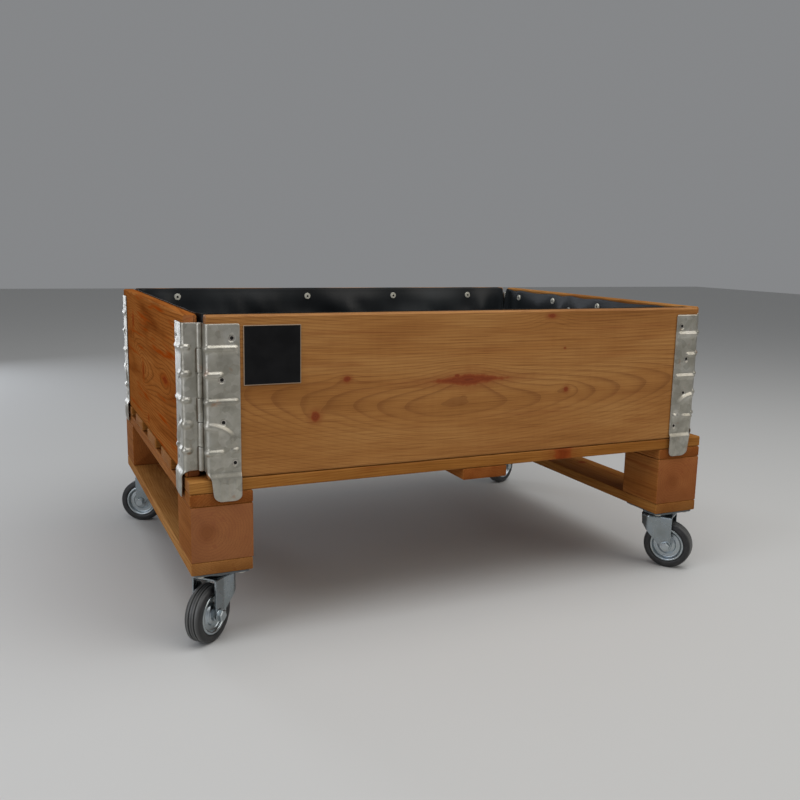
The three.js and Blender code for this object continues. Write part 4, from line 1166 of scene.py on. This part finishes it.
def make_casters(zinc, smooth, painted_shade, rubber):
    tyre_side = [
        (27.3, 10.6), (28.2, 11.3), (30.5, 11.5), (33.5, 11.2), (35.6, 10.4), (36.9, 9.2), (37.4, 7.6),
        (37.5, 5.1), (36.2, 4.5), (36.0, 3.8), (36.2, 3.1), (37.5, 2.5), (37.5, 0.0),
    ]
    tyre_profile = tyre_side + [(r, -y) for r, y in tyre_side[-2::-1]]
    tyre = lathe(tyre_profile[::-1], 72, "Y")
    # a lighter grey on the edges of the two grooves and on the shoulders, partly dust and wear and partly
    # a painted highlight
    ridge = {7.6: 0.35, 5.1: 0.9, 2.5: 0.9, 9.2: 0.25}
    rubbed = np.repeat([ridge.get(abs(y), 0.0) for _, y in tyre_profile[::-1]], 72)
    rim_side = [
        (4.4, 15.2), (7.6, 15.2), (8.5, 14.6), (8.7, 10.2), (9.6, 9.5), (12.8, 9.4), (13.6, 8.8),
        (14.0, 7.4), (15.0, 6.7), (17.0, 6.3), (17.9, 6.6), (18.8, 6.3), (20.4, 6.1), (21.4, 6.6),
        (22.2, 8.2), (22.8, 10.2), (23.6, 11.1), (24.6, 11.4), (25.8, 11.2), (26.7, 10.6), (27.0, 9.6),
    ]
    rim_profile = rim_side + [(r, -y) for r, y in rim_side[::-1]]
    rim = lathe(rim_profile[::-1], 72, "Y")
    shank = lathe([(0, -18.6), (4.0, -18.6), (4.0, 18.6), (0, 18.6)], 24, "Y", closed=False)
    collar = [(4.0, 18.4), (8.4, 18.4), (8.7, 18.8), (8.4, 19.5), (4.0, 19.5)]
    washer = lathe(collar, 28, "Y")
    washer_back = lathe([(r, -y) for r, y in collar][::-1], 28, "Y")
    heads = [hexagon_head(7.5, 19.6, 24.2), hexagon_head(7.5, -19.6, -24.2)]
    axle = merged([shank, washer, washer_back, *heads])
    fork = fork_shape()
    race_profile = [
        (SWIVEL_BORE, 87.3), (21, 87.3), (24, 88.8), (23.6, 91.0), (22.2, 91.7), (22.8, 92.4),
        (21.6, 94.6), (19.0, 95.7), (SWIVEL_BORE, 95.7),
    ]
    race = lathe(softened(race_profile, 0.7), 48)
    pin_profile = [(0, 81.2), (5.5, 81.2), (8.6, 82.4), (9, 84.2), (5, 84.2), (5, 98.2), (0, 98.2)]
    kingpin = lathe(softened(pin_profile, 0.6, False), 32, closed=False)
    outline = []
    for x_way, y_way, start in ((1, 1, 0), (-1, 1, 90), (-1, -1, 180), (1, -1, 270)):
        outline += arc((x_way * 30, y_way * 34), 5, start, start + 90, 6)
    holes = [(0, 0, SWIVEL_BORE)] + [(x, y, 3.4) for x, y in PLATE_HOLES]

    def plate_place(flat):
        points = np.column_stack([flat[:, 0], flat[:, 1], np.full(len(flat), PLATE_TOP)])
        return points, np.tile([0.0, 0.0, 1.0], (len(flat), 1))

    lines_x, lines_y = np.arange(-34, 35, 6.0), np.arange(-38, 39, 6.0)
    plate = pressed_sheet(outline, holes, lines_x, lines_y, plate_place, PLATE_SHEET)
    to_axle = np.array([TRAIL, 0, WHEEL_RADIUS])
    for name, side, end, heading in CORNERS:
        x, y = side * SWIVEL_X, end * SWIVEL_Y
        # painted shade: the plate, ball race and king bolt take a zinc painted darker for the shade under
        # the pallet
        for key, node, (points, faces) in (
            ("top_plate", "caster_plate", plate),
            ("ball_race", "swivel_race", race),
            ("king_bolt", "kingpin", kingpin),
        ):
            shape = (points + np.array([x, y, 0]), faces)
            new_piece(f"{key}_{name}", f"{node}_{name}", shape, "pallet", "zinc_plate", painted_shade, 40.0)
        for key, node, body, (points, faces), finish, slot, shift, values in (
            ("fork_yoke", "fork", "fork", fork, smooth, "zinc_plate", 0 * to_axle, {}),
            ("axle_bolt", "axle", "fork", axle, zinc, "zinc_plate", to_axle, {}),
            ("wheel_rim", "rim", "wheel", rim, zinc, "zinc_plate", to_axle, {}),
            ("wheel_tyre", "tyre", "wheel", tyre, rubber, "rubber", to_axle, {"rubbed": rubbed}),
        ):
            shape = (turned_about_z(points + shift, heading, x, y), faces)
            names = (f"{key}_{name}", f"{node}_{name}")
            new_piece(*names, shape, f"{body}_{name}", slot, finish, 40.0, values)


# ---------------------------------------------------------------- label


def make_label(acrylic):
    """The plain black plate on the front board, its edge broken all round."""
    low, high = (np.array(corner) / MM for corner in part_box("label_plate"))
    middle = (low + high) / 2
    half_x, half_z = (high[0] - low[0]) / 2, (high[2] - low[2]) / 2
    outline = []
    for x_way, z_way, start in ((1, 1, 0), (-1, 1, 90), (-1, -1, 180), (1, -1, 270)):
        outline += arc((x_way * (half_x - 1.2), z_way * (half_z - 1.2)), 1.2, start, start + 90, 5)

    def face_place(flat):
        y = np.full(len(flat), low[1])
        points = np.column_stack([middle[0] + flat[:, 0], y, middle[2] + flat[:, 1]])
        return points, np.tile([0.0, -1.0, 0.0], (len(flat), 1))

    lines = np.arange(-32, 33, 8.0)
    points, faces = pressed_sheet(outline, [], lines, lines, face_place, high[1] - low[1])
    # how far out each point is, as a share of the way from the middle to the edge
    out_x, out_z = (points - middle)[:, 0] / half_x, (points - middle)[:, 2] / half_z
    values = {"spot": np.column_stack([out_x, out_z, 0 * out_x])}
    names = ("label_blank", "label_plate")
    new_piece(*names, (points, faces), "planter_frame", "label_black", acrylic, 30.0, values)


# ---------------------------------------------------------------- screws, washers and nails

HEAD_SIZES = ("Head radius", "Head depth", "Shank radius", "Recess radius", "Recess depth")
WASHER_SIZES = ("Washer radius", "Washer height")


def fastener_tree(name, head, recess):
    """Geometry Nodes: a domed or countersunk head with a drive recess on every point, looking the
    way the point's attribute says, over a washer if it has one."""
    tree = bpy.data.node_groups.new(name, "GeometryNodeTree")
    face = tree.interface
    face.new_socket("Geometry", in_out="INPUT", socket_type="NodeSocketGeometry")
    for label in HEAD_SIZES + WASHER_SIZES:
        face.new_socket(label, in_out="INPUT", socket_type="NodeSocketFloat")
    face.new_socket("Geometry", in_out="OUTPUT", socket_type="NodeSocketGeometry")
    given = add(tree, "NodeGroupInput").node.outputs
    # sizes that are a share of a given one
    shares = {}
    for key, label, share in (
        ("head below", "Head depth", -1.0),
        ("recess floor radius", "Recess radius", 0.6),
        ("cutter depth", "Recess depth", 2.0),
        ("disc top radius", "Washer radius", 0.88),
        ("disc depth", "Washer height", 0.8),
    ):
        shares[key] = add(tree, "ShaderNodeMath", {0: given[label], 1: share}, operation="MULTIPLY")
    seat = given["Washer height"]
    head_at = add(tree, "ShaderNodeMath", {0: shares["head below"], 1: seat}, operation="ADD")
    recess_at = add(tree, "ShaderNodeMath", {0: seat, 1: given["Recess depth"]}, operation="SUBTRACT")
    recess_radii = (given["Recess radius"], shares["recess floor radius"])
    disc_radii = (shares["disc top radius"], given["Washer radius"])
    shapes = []
    for sides, (top, bottom), depth, level, finish in (
        (20, (given["Head radius"], given["Shank radius"]), given["Head depth"], head_at, head),
        (6, recess_radii, shares["cutter depth"], recess_at, recess),
        (24, disc_radii, shares["disc depth"], 0.0, head),
    ):
        inputs = {"Vertices": sides, "Radius Top": top, "Radius Bottom": bottom, "Depth": depth}
        cone = add(tree, "GeometryNodeMeshCone", inputs)
        place = add(tree, "ShaderNodeCombineXYZ", {"Z": level})
        cone = add(tree, "GeometryNodeTransform", {"Geometry": cone, "Translation": place})
        shapes.append(add(tree, "GeometryNodeSetMaterial", {"Geometry": cone, "Material": finish}))
    cone, cutter, disc = shapes
    exact = {"operation": "DIFFERENCE", "solver": "EXACT"}
    cone = add(tree, "GeometryNodeMeshBoolean", {0: cone, 1: cutter}, **exact)
    disc = add(tree, "GeometryNodeMeshBoolean", {0: disc, 1: cutter}, **exact)
    inputs = {0: seat, 1: 1e-5}
    has_washer = add(tree, "FunctionNodeCompare", inputs, data_type="FLOAT", operation="GREATER_THAN")
    disc = add(tree, "GeometryNodeSwitch", {"Switch": has_washer, "True": disc}, input_type="GEOMETRY")
    whole = add(tree, "GeometryNodeJoinGeometry")
    tree.links.new(cone, whole.node.inputs[0])
    tree.links.new(disc, whole.node.inputs[0])
    facing = add(tree, "GeometryNodeInputNamedAttribute", {"Name": "facing"}, data_type="FLOAT_VECTOR")
    turn = add(tree, "FunctionNodeAlignRotationToVector", {"Vector": facing}, axis="Z")
    spin = add(tree, "FunctionNodeRandomValue", {"Min": 0.0, "Max": 6.28, "Seed": 7}, 1, data_type="FLOAT")
    spin = add(tree, "ShaderNodeCombineXYZ", {"Z": spin})
    inputs = {"Rotation": turn, "Rotate By": spin}
    turn = add(tree, "FunctionNodeRotateRotation", inputs, rotation_space="LOCAL")
    inputs = {"Points": given["Geometry"], "Instance": whole, "Rotation": turn}
    many = add(tree, "GeometryNodeInstanceOnPoints", inputs)
    real = add(tree, "GeometryNodeRealizeInstances", {"Geometry": many})
    painted_shade = add(tree, "GeometryNodeMaterialSelection", {"Material": recess})
    bright = add(tree, "FunctionNodeBooleanMath", {0: painted_shade}, operation="NOT")
    done = add(tree, "GeometryNodeSetMaterial", {"Geometry": real, "Selection": bright, "Material": head})
    add(tree, "NodeGroupOutput", {0: done})
    return tree


def fasten(name, places, body, tree, head_sizes, washer_sizes=(0.0, 0.0)):
    """Puts a head on each place (x, y, z, facing) and turns the result into one plain mesh."""
    seeds = bpy.data.meshes.new(name + "_places")
    seeds.from_pydata([[c * MM for c in place[:3]] for place in places], [], [])
    facing = seeds.attributes.new("facing", "FLOAT_VECTOR", "POINT")
    facing.data.foreach_set("vector", np.array([p[3] for p in places], np.float32).ravel())
    holder = bpy.data.objects.new(name + "_places", seeds)
    scene.collection.objects.link(holder)
    modifier = holder.modifiers.new("heads", "NODES")
    modifier.node_group = tree
    sizes = dict(zip(HEAD_SIZES + WASHER_SIZES, [*head_sizes, *washer_sizes]))
    for item in tree.interface.items_tree:
        if item.in_out == "INPUT" and item.name in sizes:
            modifier[item.identifier] = sizes[item.name] * MM
    evaluated = holder.evaluated_get(bpy.context.evaluated_depsgraph_get())
    mesh = bpy.data.meshes.new_from_object(evaluated)
    mesh.name = name
    holder.modifiers.clear()
    bpy.data.objects.remove(holder)
    made = bpy.data.objects.new(name, mesh)
    scene.collection.objects.link(made)
    mesh.shade_smooth()
    mesh.set_sharp_from_angle(angle=math.radians(35))
    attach(made, body)


def make_fasteners(steel, zinc, bright, recess):
    screws = fastener_tree("countersunk_screws", zinc, recess)
    places = []
    screw_top = FACE - 0.35
    for _, side, end, _ in CORNERS:
        for x, z in SCREWS:
            places.append((side * (PIN_X - x), end * (PIN_Y + screw_top), z, (0, end, 0)))
            places.append((side * (PIN_X + screw_top), end * (PIN_Y - x), z, (side, 0, 0)))
    fasten("hinge_screws", places, "planter_frame", screws, (3.7, 2.2, 2.1, 3.1, 1.2))
    washers = fastener_tree("liner_washers", bright, recess)
    places = []
    for turn, (_, _, liner_screws) in enumerate(LINER_SIDES):
        for place, drop in liner_screws:
            (x, y), (nx, ny) = way_round(turn, place, liner_half(turn)[1] - WASHER_SEAT)
            places.append((x, y, RIM - drop, (nx, ny, 0)))
    fasten("liner_screws", places, "planter_frame", washers, (3.3, 1.6, 3.4, 2.7, 1.2), (6.0, 1.6))
    places = []
    for _, side, end, _ in CORNERS:
        for x, y in PLATE_HOLES:
            places.append((side * SWIVEL_X + x, end * SWIVEL_Y + y, PLATE_TOP - 2.6, (0, 0, -1)))
    fasten("caster_screws", places, "pallet", washers, (4.6, 2.4, 5.6, 2.2, 1.6), (6.4, 2.6))
    nails = fastener_tree("pallet_nails", steel, recess)
    places = []
    # hammered in by hand through the deck, either side of each board's middle, and under the skids
    for i in range(5):
        board_y = -HALF_WIDTH + 39 + i * 130.5
        for x in (-372, -344, -6, 30, 344, 372):
            wander = noise.noise(Vector((x * 0.13, board_y * 0.07, 1.0)))
            way = 22 if (x // 7) % 2 else -22
            places.append((x + 5 * wander, board_y + way + 6 * wander, DECK_TOP - 0.15, (0, 0, 1)))
    for side in (-1, 1):
        for y in (-292, -212, 212, 292):
            for x in (-12, 16):
                places.append((side * SWIVEL_X + x, y, PLATE_TOP + 0.45, (0, 0, -1)))
    fasten("pallet_nails", places, "pallet", nails, (3.6, 0.9, 3.2, 0.7, 0.15))


# ---------------------------------------------------------------- assembly


make_camera()
make_studio()
make_frame_boards()
make_pallet_boards()
bright_zinc = zinc_plated_steel("bright_zinc_plated_steel", "#b4bcc0", (0.27, 0.34))
# painted shade: a zinc painted darker for the caster plates, races and king bolts, standing in for the
# shade under the pallet
shade_darkened_zinc = zinc_plated_steel("zinc_plate_darkened_for_shade", "#6f7376", (0.38, 0.52))
dull_zinc = zinc_plated_steel("dull_zinc_screws", "#a9a49c", (0.3, 0.42))
washer_zinc = zinc_plated_steel("nickel_washers", "#d8d5c8", (0.34, 0.48), 0.35)
fork_zinc = zinc_plated_steel("smooth_zinc_forks", "#979fa3", (0.24, 0.3))
screw_zinc = zinc_plated_steel("countersunk_zinc_screws", "#c8c2b8", (0.26, 0.36))
make_hinges(galvanised_steel())
make_liner(pond_membrane())
make_label(black_acrylic())
make_casters(bright_zinc, fork_zinc, shade_darkened_zinc, black_rubber())
make_fasteners(dull_zinc, screw_zinc, washer_zinc, dark_recess())
